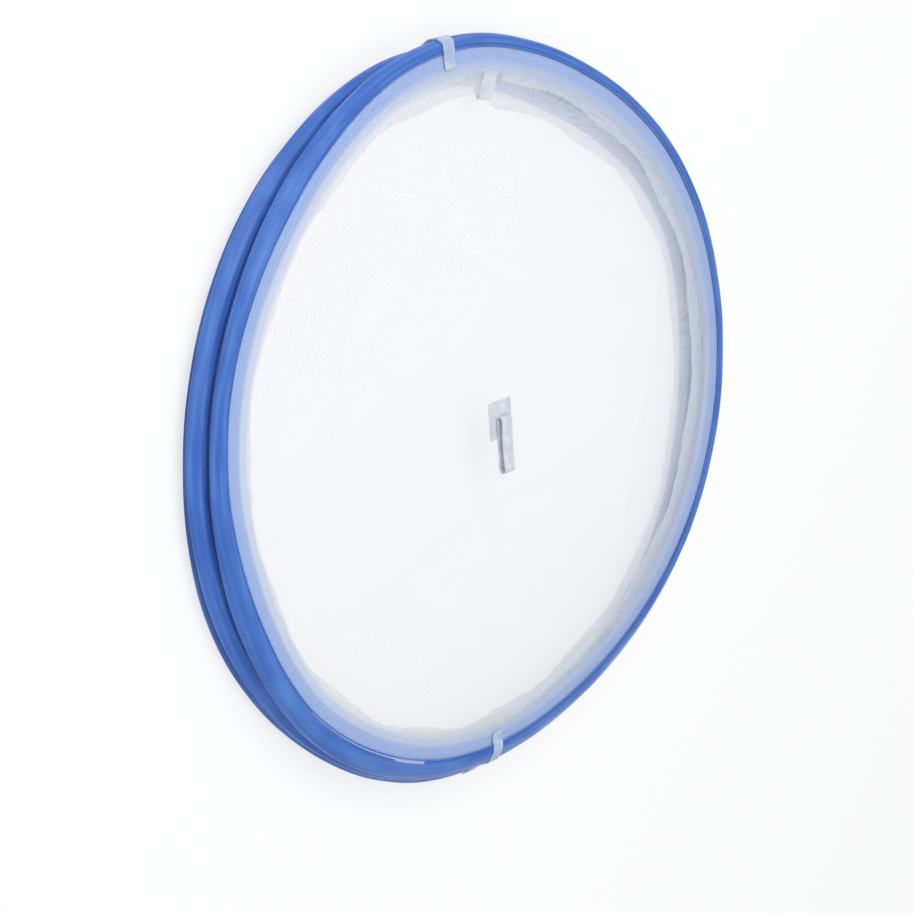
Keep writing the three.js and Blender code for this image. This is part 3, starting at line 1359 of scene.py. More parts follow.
@dataclass
class FullHoop:
    """A closed hoop: the base or the crown, with its wire and the sleeve that closes it."""

    bench: Bench
    hoop: Hoop
    height: float
    steps: int = 360
    wire_steps: int = 120
    sleeve_steps: int = 6
    wire: WireSizes = field(default_factory=WireSizes)
    stitches: StitchRow = field(default_factory=StitchRow)
    sleeve_heading: float = math.radians(243)
    sleeve_length: float = 16 * MM
    sleeve_wall: float = 0.5 * MM
    sleeve_slit: float = 0.4 * MM

    @property
    def body(self) -> str:
        """Name of the body that the hoop is part of."""
        return self.hoop.value

    def build(self) -> None:
        """Build the hoop's binding, wire and sleeve."""
        self.build_binding()
        self.build_wire()
        self.build_sleeve()

    def build_binding(self) -> None:
        """Build the folded tape with its row of stitches."""
        outline = tape_outline().moved(STACK.radius, self.height)
        mesh = self.bench.turn_line(outline.points, outline.along, 0, math.tau, self.steps)
        self.stitches.sew(mesh, self.height, 0, math.tau, 0)
        self.bench.map_round(mesh, STACK.radius)
        self.bench.settle(mesh, self.hoop, rippled=True)
        node = f"{self.body}_binding"
        tape = self.bench.piece(
            mesh, f"{node}_tape", (SATIN_TAPE, BLUE_THREAD), Slot.TAPE, [node]
        )
        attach(tape, self.body)

    def build_wire(self) -> None:
        """Build the flat wire."""
        outline = self.wire.outline(self.wire.hoop_end).moved(STACK.radius, self.height)
        mesh = self.bench.turn_line(outline.points, outline.along, 0, math.tau, self.wire_steps)
        self.bench.map_round(mesh, STACK.radius)
        self.bench.settle(mesh, self.hoop)
        node = f"{self.body}_wire"
        wire = self.bench.piece(mesh, f"{node}_strip", (SPRING_STEEL,), Slot.STEEL, [node])
        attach(wire, self.body)

    def build_sleeve(self) -> None:
        """Build the crimped sleeve, a bent plate whose edges nearly meet."""
        gap = STACK.clearance + self.sleeve_wall / 2
        wide = (self.wire.width / 2 + gap) * TAPE.down_band
        high = (self.wire.thickness / 2 + gap) * TAPE.off_band
        middle = TAPE.toe + TAPE.down_band * (self.wire.hoop_end - self.wire.width / 2)
        slit = TAPE.down_band * self.sleeve_slit
        path = [
            middle - high + slit,
            middle - high + wide,
            middle + high + wide,
            middle + high - wide,
            middle - high - wide,
            middle - high - slit,
        ]
        outline = Outline.of_strip(path, self.sleeve_wall).moved(STACK.radius, self.height)
        sweep = self.sleeve_length / STACK.radius
        start = self.sleeve_heading - sweep / 2
        mesh = self.bench.turn_line(
            outline.points, outline.along, start, sweep, self.sleeve_steps
        )
        self.bench.map_round(mesh, STACK.radius)
        self.bench.settle(mesh, self.hoop)
        node = f"{self.body}_sleeve"
        sleeve = self.bench.piece(mesh, f"{node}_crimp", (SPRING_STEEL,), Slot.STEEL, [node])
        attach(sleeve, self.body)


@dataclass(frozen=True)
class TurnPart:
    """One of the short lengths that the screw turn and the walls are cut into, so that each can
    bend with the opening of the cover."""

    number: int
    count: int

    @property
    def shares(self) -> tuple[float, float]:
        """Shares of the turn at which the part starts and ends."""
        return self.number / self.count, (self.number + 1) / self.count

    @property
    def headings(self) -> tuple[float, float]:
        """Headings at which the part starts and ends."""
        return STACK.heading(self.shares[0]), STACK.heading(self.shares[1])

    def share_at(self, point: Vector) -> float:
        """Return the share of the turn at which a point of the part lies.

        Args:
            point: The point, in the cover's frame.

        Returns:
            The share along the whole turn, 0 to 1.
        """
        start, end = self.headings
        angle = math.atan2(point.y, point.x)
        angle += math.tau * round(((start + end) / 2 - angle) / math.tau)
        return lerp(*self.shares, (angle - start) / (end - start))

    @property
    def tangent(self) -> Vector:
        """Direction along the part, at its middle."""
        return tangent_at(sum(self.headings) / 2)

    @property
    def half_length(self) -> float:
        """Distance along the tangent from the part's middle to each end."""
        return STACK.radius * math.sin((self.headings[1] - self.headings[0]) / 2)

    @property
    def places(self) -> tuple[float, float]:
        """Places on the blend of the part's two ends."""
        return blend_place(self.shares[0]), blend_place(self.shares[1])

    @property
    def slope(self) -> float:
        """Growth of the place on the blend along the tangent."""
        return (self.places[1] - self.places[0]) / (2 * self.half_length)

    @property
    def climb(self) -> float:
        """Growth of the turn's height along the tangent."""
        ends = [STACK.height(share) for share in self.shares]
        return (ends[1] - ends[0]) / (2 * self.half_length)

    @property
    def label(self) -> str:
        """Number of the part, as its pieces' names have it."""
        return f"{self.number + 1:02d}"


@dataclass
class ScrewTurn:
    """The middle hoop: one turn of wire that climbs from the base to the crown."""

    bench: Bench
    parts: Sequence[TurnPart]
    steps: int = 24
    wire_steps: int = 8
    end_depth: float = 2.2 * MM
    wire: WireSizes = field(default_factory=WireSizes)
    stitches: StitchRow = field(default_factory=StitchRow)

    def build(self) -> None:
        """Build the binding and the wire, part by part."""
        for part in self.parts:
            self.build_binding(part)
            self.build_wire(part)

    def turn_section(self, section: Outline, part: TurnPart, steps: int) -> bmesh.types.BMesh:
        """Turn a section along one part.

        Args:
            section: The section round the band's centre.
            part: The part.
            steps: The number of steps.

        Returns:
            The new bmesh.
        """
        low, high = (STACK.height(share) for share in part.shares)
        start, end = part.headings
        outline = section.moved(STACK.radius, low)
        return self.bench.turn_line(
            outline.points, outline.along, start, end - start, steps, high - low
        )

    def bend(self, piece: bpy.types.Object, part: TurnPart) -> None:
        """Let one part's piece climb with the crown by its share of the turn."""
        bend(piece, part.tangent * part.slope, sum(part.places) / 2)

    def build_binding(self, part: TurnPart) -> None:
        """Build the folded tape with its row of stitches.

        Args:
            part: The part of the turn.
        """
        mesh = self.turn_section(tape_outline(), part, self.steps)
        low, high = (STACK.height(share) for share in part.shares)
        start, end = part.headings
        self.stitches.sew(mesh, low, start, end - start, high - low)
        self.bench.map_round(mesh, STACK.radius)
        if part is self.parts[0]:
            self.close_end(mesh, start, -1, low)
        if part is self.parts[-1]:
            self.close_end(mesh, end, 1, high)
        self.bench.settle(mesh, Hoop.TURN, rippled=True)
        name = f"turn_binding_tape_{part.label}"
        finishes = (SATIN_TAPE, BLUE_THREAD)
        tape = self.bench.piece(mesh, name, finishes, Slot.TAPE, ["turn_binding"])
        self.bend(tape, part)

    def close_end(
        self, mesh: bmesh.types.BMesh, heading: float, way: int, height: float
    ) -> None:
        """Close the tape's end with a tucked-in fold over the wire.

        Args:
            mesh: The binding's bmesh.
            heading: The heading of the tape's end.
            way: The way out of the tape, 1 along the turn or -1 against it.
            height: The height of the band's centre there.
        """
        middle = at_heading(Vector((STACK.radius, height)), heading)
        down = at_heading(TAPE.down_band, heading)
        off = at_heading(TAPE.off_band, heading)
        turn = Matrix((down, off, tangent_at(heading) * way)).transposed().to_4x4()
        tuck = TAPE.ply * Vector((1, 1, 0))
        size = Vector((TAPE.band_width / 2, TAPE.band_thickness / 2, self.end_depth)) - tuck / 4
        place = Matrix.Translation(middle) @ turn @ Matrix.Diagonal((*size, 1))
        made = bmesh.ops.create_uvsphere(
            mesh, u_segments=24, v_segments=10, radius=1, matrix=place
        )
        faces = dict.fromkeys(face for vert in made["verts"] for face in vert.link_faces)
        bmesh.ops.recalc_face_normals(mesh, faces=list(faces))

    def build_wire(self, part: TurnPart) -> None:
        """Build the flat wire.

        Args:
            part: The part of the turn.
        """
        mesh = self.turn_section(self.wire.outline(self.wire.turn_end), part, self.wire_steps)
        self.bench.map_round(mesh, STACK.radius)
        self.bench.settle(mesh, Hoop.TURN)
        name = f"turn_wire_strip_{part.label}"
        wire = self.bench.piece(mesh, name, (SPRING_STEEL,), Slot.STEEL, ["turn_wire"])
        self.bend(wire, part)


# Nets


@dataclass
class CrownNet:
    """The round net of the crown, its edge over the flange and in under the lip.

    Each crease has the heading in which it runs, and how far it passes beside the middle.
    """

    bench: Bench
    steps: int = 180
    rings: int = 64
    swell: float = 0.9 * MM
    swell_length: float = 55 * MM
    swell_share: float = 0.6
    crease_rise: float = 1.3 * MM
    crease_width: float = 7 * MM
    crease_sway: float = 6 * MM
    crease_sway_length: float = 80 * MM
    rim_fade: float = 30 * MM
    flat_middle: float = 22 * MM
    middle_fade: float = 25 * MM
    hem_width: float = 5 * MM
    creases: tuple[tuple[float, float], ...] = (
        (0.35, -0.12),
        (1.05, 0.09),
        (1.75, -0.05),
        (2.3, 0.14),
        (2.85, -0.15),
        (0.75, 0.17),
    )

    def height(self, point: Vector) -> float:
        """Return how far the slack net stands up at a point.

        Args:
            point: A point of the flat net.

        Returns:
            The height above the flat net.
        """
        distance = math.hypot(point.x, point.y)
        rim = STACK.radius + TAPE.flange_edge
        off_rim = clamp((rim - distance) / self.rim_fade)
        off_middle = clamp((distance - self.flat_middle) / self.middle_fade)
        swell = noise.noise(point / self.swell_length) + self.swell_share
        fold = 0.0
        for heading, aside in self.creases:
            off = point.y * math.cos(heading) - point.x * math.sin(heading) - aside
            off += self.crease_sway * noise.noise(point / self.crease_sway_length)
            fold += math.exp(-((off / self.crease_width) ** 2))
        slack = max(swell, 0) * self.swell + fold * self.crease_rise
        return smooth(off_rim * off_middle) * slack

    def build(self) -> None:
        """Build the net."""
        edge = STACK.radius + TAPE.head.x
        level = STACK.crown_height + TAPE.slot_middle
        points = [Vector((edge * ring / self.rings, level)) for ring in range(self.rings + 1)]
        mesh = self.bench.turn_line(
            points, [point.x for point in points], 0, math.tau, self.steps, closed=False
        )
        bmesh.ops.remove_doubles(mesh, verts=mesh.verts[:], dist=self.bench.doubled)
        bmesh.ops.recalc_face_normals(mesh, faces=mesh.faces[:])
        if sum(face.normal.z for face in mesh.faces) < 0:
            bmesh.ops.reverse_faces(mesh, faces=mesh.faces[:])
        self.bench.map_flat(mesh)
        hem = mesh.verts.layers.float.new(HEM)
        fold = STACK.radius + TAPE.flange_edge
        for vert in mesh.verts:
            distance = math.hypot(vert.co.x, vert.co.y)
            inside = fold - distance
            vert[hem] = 1.0 if 0 < inside < self.hem_width else 0.0
            vert.co.z += self.height(vert.co)
        self.bench.settle(mesh, Hoop.CROWN)
        net = self.bench.piece(mesh, "crown_net", (KNITTED_NET,), Slot.NET, ["top_net"])
        net.visible_shadow = False
        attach(net, "crown")


class Wall(Enum):
    """The two nets of the side wall."""

    UPPER = "upper_wall_net"
    LOWER = "lower_wall_net"


@dataclass
class SideWall:
    """A net between two hoops, folded inwards while the cover is flat."""

    bench: Bench
    parts: Sequence[TurnPart]
    wall: Wall
    steps: int = 24
    deep_fold: float = 16 * MM
    shallow_fold: float = 6 * MM
    fold_round: float = 0.9 * MM
    fold_waves: int = 15
    fold_wave: float = 1.6 * MM
    gather: float = 1.6 * MM
    gather_length: float = 9 * MM
    gather_layers: tuple[float, float] = (3, 11)
    least_rate: float = 1.0
    stations: tuple[float, ...] = (
        0, 0.15, 0.3, 0.45, 0.6, 0.75, 0.9, 1, 1.25, 1.5, 1.75, 2, 2.15, 2.3, 2.5, 2.7, 2.85,
        3, 3.5, 4,
    )

    def top(self, share: float) -> float:
        """Return the height of the net's upper edge, under the flange of the hoop above."""
        above = STACK.crown_height if self.wall is Wall.UPPER else STACK.height(share)
        return above + TAPE.flange_underside - STACK.clearance - STACK.net_thickness / 2

    def bottom(self, share: float) -> float:
        """Return the height of the net's lower edge, in the slot of the hoop below."""
        below = STACK.height(share) if self.wall is Wall.UPPER else STACK.base_height
        return below + TAPE.slot_middle

    def depth(self, share: float, heading: float) -> float:
        """Return how far in past the flange the fold reaches.

        Args:
            share: The share along the turn.
            heading: The heading there.

        Returns:
            The fold's depth.
        """
        tall = 1 - share if self.wall is Wall.UPPER else share
        wave = self.fold_wave * math.cos(self.fold_waves * heading)
        place = at_heading(Vector((STACK.radius, 0)), heading) / self.gather_length
        layer = self.gather_layers[self.wall is Wall.LOWER]
        gather = noise.noise(place + UP * layer) * self.gather
        return lerp(self.shallow_fold, self.deep_fold, tall) + wave + gather

    def point(self, station: float, share: float) -> Vector:
        """Return a point of the net's section.

        Args:
            station: The place on the section: 0 to 1 goes in to the fold, 1 to 2 round it, 2 to 3
                back out and 3 to 4 in under the lip.
            share: The share along the turn.

        Returns:
            The point, as distance out and height.
        """
        heading = STACK.heading(share)
        top, bottom = self.top(share), self.bottom(share)
        middle = (top + bottom) / 2
        fold = STACK.radius + TAPE.flange_edge - self.depth(share, heading)
        corners = [
            Vector((STACK.radius + TAPE.ply_root - STACK.clearance, top)),
            Vector((fold, middle + self.fold_round)),
            Vector((fold, middle - self.fold_round)),
            Vector((STACK.radius + TAPE.lip_edge - STACK.clearance, bottom)),
            Vector((STACK.radius + TAPE.head.x, bottom)),
        ]
        leg = min(int(station), 3)
        part = station - leg
        place = corners[leg].lerp(corners[leg + 1], part)
        if leg == 1:
            place.x -= self.fold_round * math.sin(math.pi * part)
        return place

    def bend(self, piece: bpy.types.Object, part: TurnPart) -> None:
        """Let one part's net open with the cover: its edges stay with the hoops that hold it.

        Args:
            piece: The net of one part.
            part: The part.
        """
        mean = sum(part.places) / 2
        share = sum(part.shares) / 2
        rates = []
        for end, place in zip(part.shares, part.places):
            tall = self.top(end) - self.bottom(end)
            rates.append((1 - place if self.wall is Wall.UPPER else place) / tall)
        rate = max(*rates, self.least_rate)
        held = self.bottom(share) if self.wall is Wall.UPPER else self.top(share)
        gradient = part.tangent * (part.slope - rate * part.climb) + UP * rate
        bend(piece, gradient, mean - rate * held)

    def build(self) -> None:
        """Build the net, part by part."""
        for part in self.parts:
            self.build_part(part)

    def build_part(self, part: TurnPart) -> None:
        """Build one length of the net.

        Args:
            part: The part of the turn that it goes with.
        """
        start, end = part.headings
        points = [self.point(station, part.shares[0]) for station in self.stations]
        mesh = self.bench.turn_line(
            points, self.stations, start, end - start, self.steps, closed=False
        )
        layer = mesh.verts.layers.float[ALONG]
        for vert in mesh.verts:
            share = part.share_at(vert.co)
            station = vert[layer]
            vert.co = at_heading(self.point(station, share), STACK.heading(share))
            vert[layer] = self.lengths(share)[self.nearest(station)]
        self.bench.map_round(mesh, STACK.radius - TAPE.flange_width)
        for vert in mesh.verts:
            shares = self.hoop_shares(vert.co.z, part.share_at(vert.co))
            vert.co = self.bench.lie.place(vert.co, *shares)
        mesh.verts.layers.float.new(HEM)
        area = sum(face.calc_area() for face in mesh.faces)
        name = f"{self.wall.value}_{part.label}"
        net = self.bench.piece(mesh, name, (WALL_NET,), Slot.NET, [self.wall.value])
        net.visible_shadow = False
        self.bend(net, part)
        cut = max(self.lengths(sum(part.shares) / 2))
        area / cut

    def hoop_shares(self, height: float, share: float) -> tuple[float, float]:
        """Return how far a point of the net goes with the screw turn and with the crown.

        Args:
            height: The point's height.
            share: The share along the turn.

        Returns:
            Its share of the screw turn's bulge, and of the crown's pressed band.
        """
        top, bottom = self.top(share), self.bottom(share)
        up = smooth((height - bottom) / (top - bottom))
        return (1 - up, up) if self.wall is Wall.UPPER else (up, 0.0)

    def nearest(self, station: float) -> int:
        """Return the number of the station that a vertex stands at."""
        return min(range(len(self.stations)), key=lambda i: abs(self.stations[i] - station))

    def lengths(self, share: float) -> list[float]:
        """Measure the cloth from the upper edge to each station.

        Args:
            share: The share along the turn.

        Returns:
            The lengths, in the stations' order.
        """
        points = [self.point(station, share) for station in self.stations]
        reached = [0.0]
        for before, after in zip(points, points[1:]):
            reached.append(reached[-1] + (after - before).length)
        return reached


@dataclass
class SeamTape:
    """The upright tape that joins the ends of both wall nets."""

    bench: Bench
    width: float = 14 * MM
    thickness: float = 0.5 * MM
    fold: float = 16 * MM
    fold_round: float = 0.9 * MM
    steps: int = 8

    def build(self) -> None:
        """Build the tape, folded inwards like the nets."""
        gap = STACK.clearance + self.thickness / 2
        root = STACK.radius + TAPE.lip_edge - STACK.clearance
        top = Vector((root, STACK.crown_height + TAPE.flange_underside - gap))
        bottom = Vector((root, STACK.base_height + TAPE.flange_top + gap))
        turned = Vector((STACK.radius + TAPE.flange_edge - self.fold, (top.y + bottom.y) / 2))
        quarter = math.pi / 2
        path = [
            top,
            *run(top, turned + Vector((0, self.fold_round)), 6),
            *arc(turned, self.fold_round, quarter, 3 * quarter, 6),
            *run(turned - Vector((0, self.fold_round)), bottom, 6),
            bottom,
        ]
        outline = Outline.of_strip(path, self.thickness)
        sweep = self.width / root
        start = STACK.seam_heading - sweep / 2
        mesh = self.bench.turn_line(outline.points, outline.along, start, sweep, self.steps)
        self.bench.map_round(mesh, root)
        self.bench.settle(mesh, Hoop.NONE)
        node = "wall_seam_tape"
        tape = self.bench.piece(mesh, f"{node}_ribbon", (WHITE_RIBBON,), Slot.RIBBON, [node])
        rate = 1 / (top.y - bottom.y)
        bend(tape, UP * rate, -bottom.y * rate)


# Ribbons


class Side(Enum):
    """Which end of the cover's X axis a strap lies near."""

    LEFT = "left"
    RIGHT = "right"


@dataclass
class ClosingStrap:
    """A ribbon over the rim that holds the fold shut, with the stitches at its ends."""

    bench: Bench
    side: Side
    lean: float = math.radians(6.25)
    width: float = 10 * MM
    thickness: float = 0.8 * MM
    foot: float = 0.9 * MM
    step: float = 2.5 * MM
    steps: int = 8
    tack_length: float = 8 * MM
    tack_width: float = 1.6 * MM
    tack_inset: float = 1.2 * MM
    tack_threads: int = 16
    tack_lift: float = 0.1 * MM
    tack_slant: float = 0.25
    tack_cover: float = 1.5
    over_step: float = 0.05 * MM
    down_wall: float = 0.2 * MM
    stretch_start: float = 4 * MM
    stretch_length: float = 20 * MM

    @property
    def heading(self) -> float:
        """Heading of the strap's middle."""
        return math.pi + self.lean if self.side is Side.LEFT else -self.lean

    @property
    def round(self) -> float:
        """Radius of the strap's bends, in its middle."""
        return TAPE.outer_round + STACK.clearance + self.thickness / 2

    @property
    def end_level(self) -> float:
        """Height of the strap's inner end, on the net over the crown's flange."""
        return STACK.net_top + STACK.clearance + self.thickness / 2

    @property
    def wall(self) -> float:
        """Distance out of the strap's upright part."""
        return STACK.radius + TAPE.toe.x + self.round

    def build(self) -> None:
        """Build the strap and both blocks of stitches."""
        self.build_strap()
        self.build_tack("crown")
        self.build_tack("base")

    def build_strap(self) -> None:
        """Build the ribbon, from the crown's flange over the rim to the base's band."""
        shift = Vector((STACK.radius, STACK.crown_height))
        head, toe = TAPE.head + shift, TAPE.toe + shift
        lip = STACK.radius + TAPE.lip_edge
        inner = Vector((STACK.radius + TAPE.flange_edge, self.end_level))
        low = Vector((lip - self.step, self.end_level))
        high = Vector((lip, head.y + self.round))
        foot = Vector((self.wall, self.foot))
        over = arc(head, self.round, math.pi / 2, TAPE.face_angle, 5)
        down = arc(toe, self.round, TAPE.face_angle, 0, 5)
        path = [
            inner,
            *run(inner, low, 4),
            low,
            *run(low, high, 3, self.over_step),
            high,
            *over,
            *run(over[-1], down[0], 3),
            *down,
            *run(down[-1], foot, 8, self.down_wall),
            foot,
        ]
        outline = Outline.of_strip(path, self.thickness)
        sweep = self.width / self.wall
        start = self.heading - sweep / 2
        mesh = self.bench.turn_line(outline.points, outline.along, start, sweep, self.steps)
        self.bench.map_round(mesh, self.wall)
        self.bench.settle(mesh, Hoop.NONE)
        node = f"strap_{self.side.value}"
        strap = self.bench.piece(mesh, f"{node}_ribbon", (SHADED_STRAP_RIBBON,), Slot.RIBBON, [node])
        bend(strap, UP / self.stretch_length, -self.stretch_start / self.stretch_length)

    def build_tack(self, body: str) -> None:
        """Build one block of stitches, a row of threads side by side.

        Args:
            body: The body that the block is sewn to, crown or base.
        """
        gap = self.thickness / 2 + self.tack_lift
        middle = self.tack_inset + self.tack_width / 2
        if body == "crown":
            place = Vector((STACK.radius + TAPE.flange_edge + middle, self.end_level + gap))
            lean = Vector((1, 0))
        else:
            place = Vector((self.wall + gap, self.foot + middle))
            lean = Vector((0, 1))
        mesh = bmesh.new()
        pitch = self.tack_length / self.tack_threads
        for thread in range(self.tack_threads):
            aside = (thread + 0.5) * pitch - self.tack_length / 2
            heading = self.heading + aside / place.x
            slant = tangent_at(heading) * (self.tack_slant if thread % 2 else -self.tack_slant)
            along = (at_heading(lean, heading) + slant).normalized()
            point = at_heading(place, heading)
            Bench.stitch(mesh, point, along, self.tack_width, self.tack_cover * pitch)
        self.bench.settle(mesh, Hoop.NONE)
        node = f"{body}_tack_{self.side.value}"
        tack = self.bench.piece(mesh, f"{node}_thread", (WHITE_THREAD,), Slot.THREAD, [node])
        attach(tack, body)


@dataclass
class LiftLoop:
    """The ribbon loop in the middle of the top net, and the patch that it is sewn to."""

    bench: Bench
    length: float = 40 * MM
    height: float = 6 * MM
    width: float = 10 * MM
    ribbon: float = 0.6 * MM
    patch_length: float = 26 * MM
    patch_width: float = 22 * MM
    patch_thickness: float = 0.6 * MM
    patch_edge: float = 0.22 * MM
    sag: float = 0.7 * MM
    strips: int = 8
    seam_inset: float = 2 * MM
    stitch_pitch: float = 2.4 * MM
    stitch_share: float = 0.8
    stitch_width: float = 0.34 * MM

    @property
    def patch_bottom(self) -> float:
        """Height of the patch's underside."""
        return STACK.net_top + STACK.clearance

    def build(self) -> None:
        """Build the patch, then the loop on it."""
        self.build_patch()
        self.build_loop()

    def build_patch(self) -> None:
        """Build the square of ribbon with its sewn border."""
        mesh = bmesh.new()
        size = Matrix.Diagonal((self.patch_length, self.patch_width, self.patch_thickness, 1))
        middle = Vector((0, 0, self.patch_bottom + self.patch_thickness / 2))
        bmesh.ops.create_cube(mesh, size=1, matrix=Matrix.Translation(middle) @ size)
        bmesh.ops.bevel(
            mesh,
            geom=mesh.edges[:],
            offset=self.patch_edge,
            segments=2,
            profile=0.5,
            affect="EDGES",
            material=-1,
        )
        self.bench.map_flat(mesh)
        level = self.patch_bottom + self.patch_thickness
        across = self.patch_length / 2 - self.seam_inset
        aside = self.patch_width / 2 - self.seam_inset
        corners = [(across, aside), (-across, aside), (-across, -aside), (across, -aside)]
        for start, end in zip(corners, corners[1:] + corners[:1]):
            self.sew(mesh, Vector((*start, level)), Vector((*end, level)))
        node = "loop_patch"
        finishes = (WHITE_RIBBON, WHITE_THREAD)
        patch = self.bench.piece(mesh, f"{node}_ribbon", finishes, Slot.RIBBON, [node])
        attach(patch, "crown")

    def sew(self, mesh: bmesh.types.BMesh, start: Vector, end: Vector) -> None:
        """Add a straight row of stitches to the patch.

        Args:
            mesh: The patch's bmesh.
            start: Where the row starts.
            end: Where it ends.
        """
        count = max(round((end - start).length / self.stitch_pitch), 1)
        along = (end - start).normalized()
        length = self.stitch_share * self.stitch_pitch
        for stitch in range(count):
            middle = start.lerp(end, (stitch + 0.5) / count)
            Bench.stitch(mesh, middle, along, length, self.stitch_width, THREAD_INDEX)

    def build_loop(self) -> None:
        """Build the loop, whose upper run sags a little between its rounds."""
        radius = self.height / 2
        near, far = Vector((0, 0)), Vector((self.length - 2 * radius, 0))
        quarter = math.pi / 2
        bend_radius = radius - self.ribbon / 2
        path = [
            *arc(far, bend_radius, -quarter, quarter, 10),
            *run(far + Vector((0, bend_radius)), near + Vector((0, bend_radius)), 10, self.sag),
            *arc(near, bend_radius, quarter, 3 * quarter, 10),
            *run(near - Vector((0, bend_radius)), far - Vector((0, bend_radius)), 10),
        ]
        centre = self.patch_bottom + self.patch_thickness + STACK.clearance + radius
        half = self.width / 2
        mesh = bmesh.new()
        verts = [mesh.verts.new((point.x, -half, centre + point.y)) for point in path]
        ring = [mesh.edges.new(pair) for pair in zip(verts, verts[1:] + verts[:1])]
        for _ in range(self.strips):
            made = bmesh.ops.extrude_edge_only(mesh, edges=ring)["geom"]
            ring = [item for item in made if isinstance(item, bmesh.types.BMEdge)]
            moved = [item for item in made if isinstance(item, bmesh.types.BMVert)]
            bmesh.ops.translate(mesh, verts=moved, vec=(0, self.width / self.strips, 0))
        bmesh.ops.recalc_face_normals(mesh, faces=mesh.faces[:])
        self.bench.map_flat(mesh)
        bmesh.ops.solidify(mesh, geom=mesh.faces[:], thickness=self.ribbon)
        node = "lift_loop"
        loop_piece = self.bench.piece(
            mesh, f"{node}_ribbon", (WHITE_RIBBON,), Slot.RIBBON, [node]
        )
        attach(loop_piece, "loop")


# Studio


@dataclass(frozen=True)
class Lamp:
    """A square lamp that faces the cover, hung by the picture's directions.

    Its first four values say how far it hangs back towards the camera, down and to the right in
    the picture, and up. Then come its distance, its side and its power in watts.
    """

    name: str
    back: float
    below: float
    aside: float
    above: float
    distance: float
    size: float
    power: float


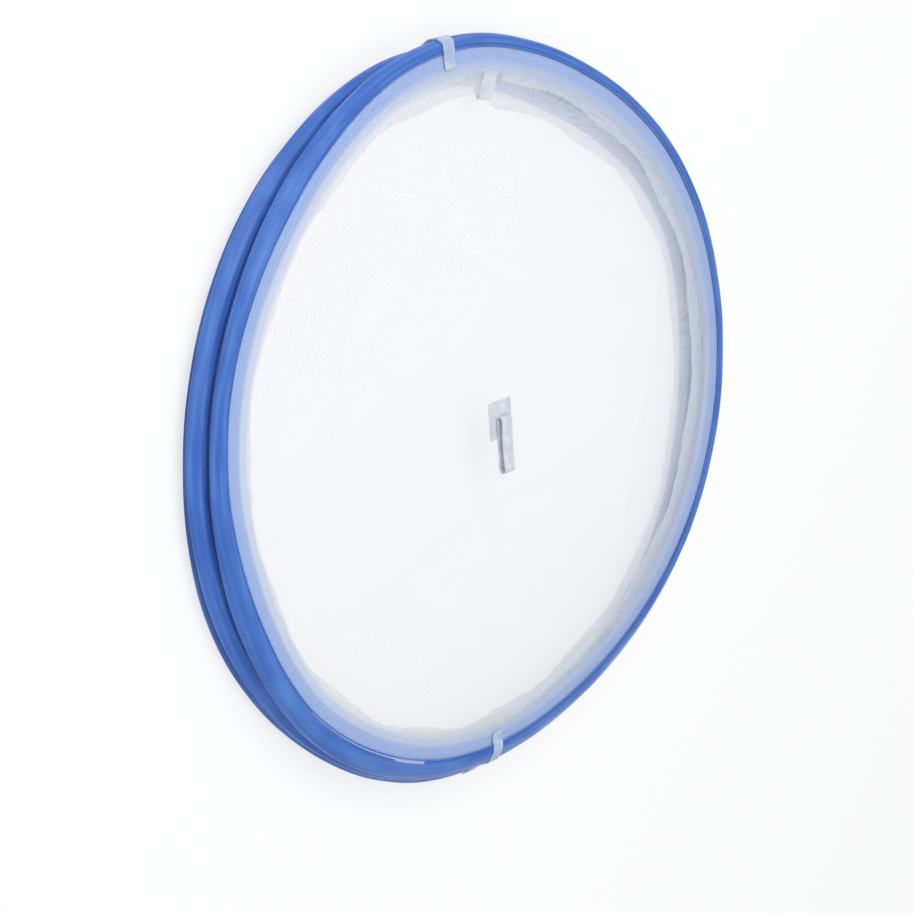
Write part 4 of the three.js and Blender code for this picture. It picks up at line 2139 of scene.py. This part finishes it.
@dataclass
class Studio:
    """Floor, lamps and the camera that looks as the photograph does.

    The camera's directions are shares of up, of the way to the cover's near side, and of the
    level way across.
    """

    lens: float = 86.27
    sensor: float = 36.0
    aim_height: float = 28.5 * MM
    aim_aside: float = -5.65 * MM
    aim_near: float = 3.31 * MM
    seen_at: tuple[float, float, float] = (27.52 * MM, -31.08 * MM, 1461.8 * MM)
    facing: float = math.radians(-109.4)
    looks_along: tuple[float, float, float] = (-0.6608, -0.7496, 0.0373)
    has_right: tuple[float, float, float] = (0.7366, -0.6572, -0.1598)
    floor_size: float = 30.0
    floor_depth: float = 0.1 * MM
    floor_paint: tuple[float, ...] = (0.9, 0.9, 0.9, 1)
    floor_glow: float = 1.12
    glow_share: float = 0.6
    sky: tuple[float, ...] = (0.97, 0.985, 1.0, 1)
    sky_strength: float = 0.55
    white: tuple[float, ...] = (1, 1, 1, 1)
    backdrop_strength: float = 0.95
    lamps: tuple[Lamp, ...] = (
        Lamp("key", 0.7, -0.55, 0.2, 0.35, distance=1.9, size=1.1, power=13.3),
        Lamp("fill", 0.5, 0.3, 0.2, 0.8, distance=2.0, size=1.6, power=7.0),
    )

    def level(self) -> tuple[Vector, Vector]:
        """Return the level directions to the cover's near side and across."""
        near = Vector((math.cos(self.facing), math.sin(self.facing), 0))
        return near, UP.cross(near)

    def axes(self) -> tuple[Vector, Vector, Vector]:
        """Work out the picture's directions in space.

        Returns:
            The picture's right and down directions, and the way that the camera looks.
        """
        near, side = self.level()
        forward, right = (
            UP * shares[0] + near * shares[1] + side * shares[2]
            for shares in (self.looks_along, self.has_right)
        )
        forward.normalize()
        right = (right - forward * right.dot(forward)).normalized()
        return right, forward.cross(right), forward

    def build(self) -> None:
        """Build the whole studio."""
        self.build_camera()
        self.build_floor()
        self.build_world()
        for lamp in self.lamps:
            self.hang(lamp)
        bpy.context.scene.view_settings.view_transform = "Standard"

    def build_camera(self) -> None:
        """Place the camera and make it the scene's."""
        right, down, forward = self.axes()
        across, below, ahead = self.seen_at
        near, side = self.level()
        aim = UP * self.aim_height + side * self.aim_aside + near * self.aim_near
        place = aim - right * across - down * below - forward * ahead
        data = bpy.data.cameras.new("camera")
        data.lens = self.lens
        data.sensor_width = self.sensor
        camera = bpy.data.objects.new("camera", data)
        turn = Matrix((right, -down, -forward)).transposed()
        camera.matrix_world = Matrix.Translation(place) @ turn.to_4x4()
        bpy.context.scene.collection.objects.link(camera)
        bpy.context.scene.camera = camera

    def build_floor(self) -> None:
        """Build the pale floor, which keeps the cover's shadow."""
        mesh = bmesh.new()
        bmesh.ops.create_grid(mesh, x_segments=4, y_segments=4, size=self.floor_size / 2)
        data = bpy.data.meshes.new("floor")
        mesh.to_mesh(data)
        mesh.free()
        floor = bpy.data.objects.new("floor", data)
        floor.location.z = -self.floor_depth
        bpy.context.scene.collection.objects.link(floor)
        graph = Graph.of_material("pale_floor")
        rays = graph.node("ShaderNodeLightPath").outputs
        seen = graph.math("MAXIMUM", rays["Is Camera Ray"], rays["Is Glossy Ray"])
        seen = graph.math("MAXIMUM", seen, rays["Is Transmission Ray"])
        paint = graph.node("ShaderNodeBsdfDiffuse", inputs={"Color": self.floor_paint})
        glow = {"Color": self.white, "Strength": self.floor_glow}
        lit = graph.node("ShaderNodeEmission", inputs=glow)
        data.materials.append(graph.close(graph.shaders(seen * self.glow_share, paint, lit)))

    def build_world(self) -> None:
        """Build the soft sky, which the camera sees as plain white."""
        world = bpy.data.worlds.new("soft_sky")
        bpy.context.scene.world = world
        graph = Graph(world, "ShaderNodeOutputWorld")
        sky, backdrop = (
            graph.node("ShaderNodeBackground", inputs={"Color": colour, "Strength": strength})
            for colour, strength in (
                (self.sky, self.sky_strength),
                (self.white, self.backdrop_strength),
            )
        )
        seen = graph.node("ShaderNodeLightPath").outputs["Is Camera Ray"]
        graph.close(graph.shaders(seen, sky, backdrop))

    def hang(self, lamp: Lamp) -> None:
        """Hang a lamp and turn it to the cover.

        Args:
            lamp: The lamp.
        """
        right, down, forward = self.axes()
        way = -forward * lamp.back + down * lamp.below + right * lamp.aside + UP * lamp.above
        data = bpy.data.lights.new(lamp.name, "AREA")
        data.shape = "SQUARE"
        data.size = lamp.size
        data.energy = lamp.power
        made = bpy.data.objects.new(lamp.name, data)
        made.location = way.normalized() * lamp.distance
        made.rotation_euler = made.location.to_track_quat("Z", "Y").to_euler()
        bpy.context.scene.collection.objects.link(made)


def main() -> None:
    """Build the cover, sub-assembly by sub-assembly, and then the studio."""
    logging.basicConfig(level=logging.INFO, format="%(message)s")
    noise.seed_set(NOISE_SEED)
    bench = Bench()
    parts = [TurnPart(number, PART_COUNT) for number in range(PART_COUNT)]
    FullHoop(bench, Hoop.BASE, STACK.base_height).build()
    FullHoop(bench, Hoop.CROWN, STACK.crown_height).build()
    TapeJoint(bench).build()
    ScrewTurn(bench, parts).build()
    CrownNet(bench).build()
    SideWall(bench, parts, Wall.UPPER).build()
    SideWall(bench, parts, Wall.LOWER).build()
    SeamTape(bench).build()
    for side in Side:
        ClosingStrap(bench, side).build()
    LiftLoop(bench).build()
    Studio().build()


if __name__ == "__main__":
    main()
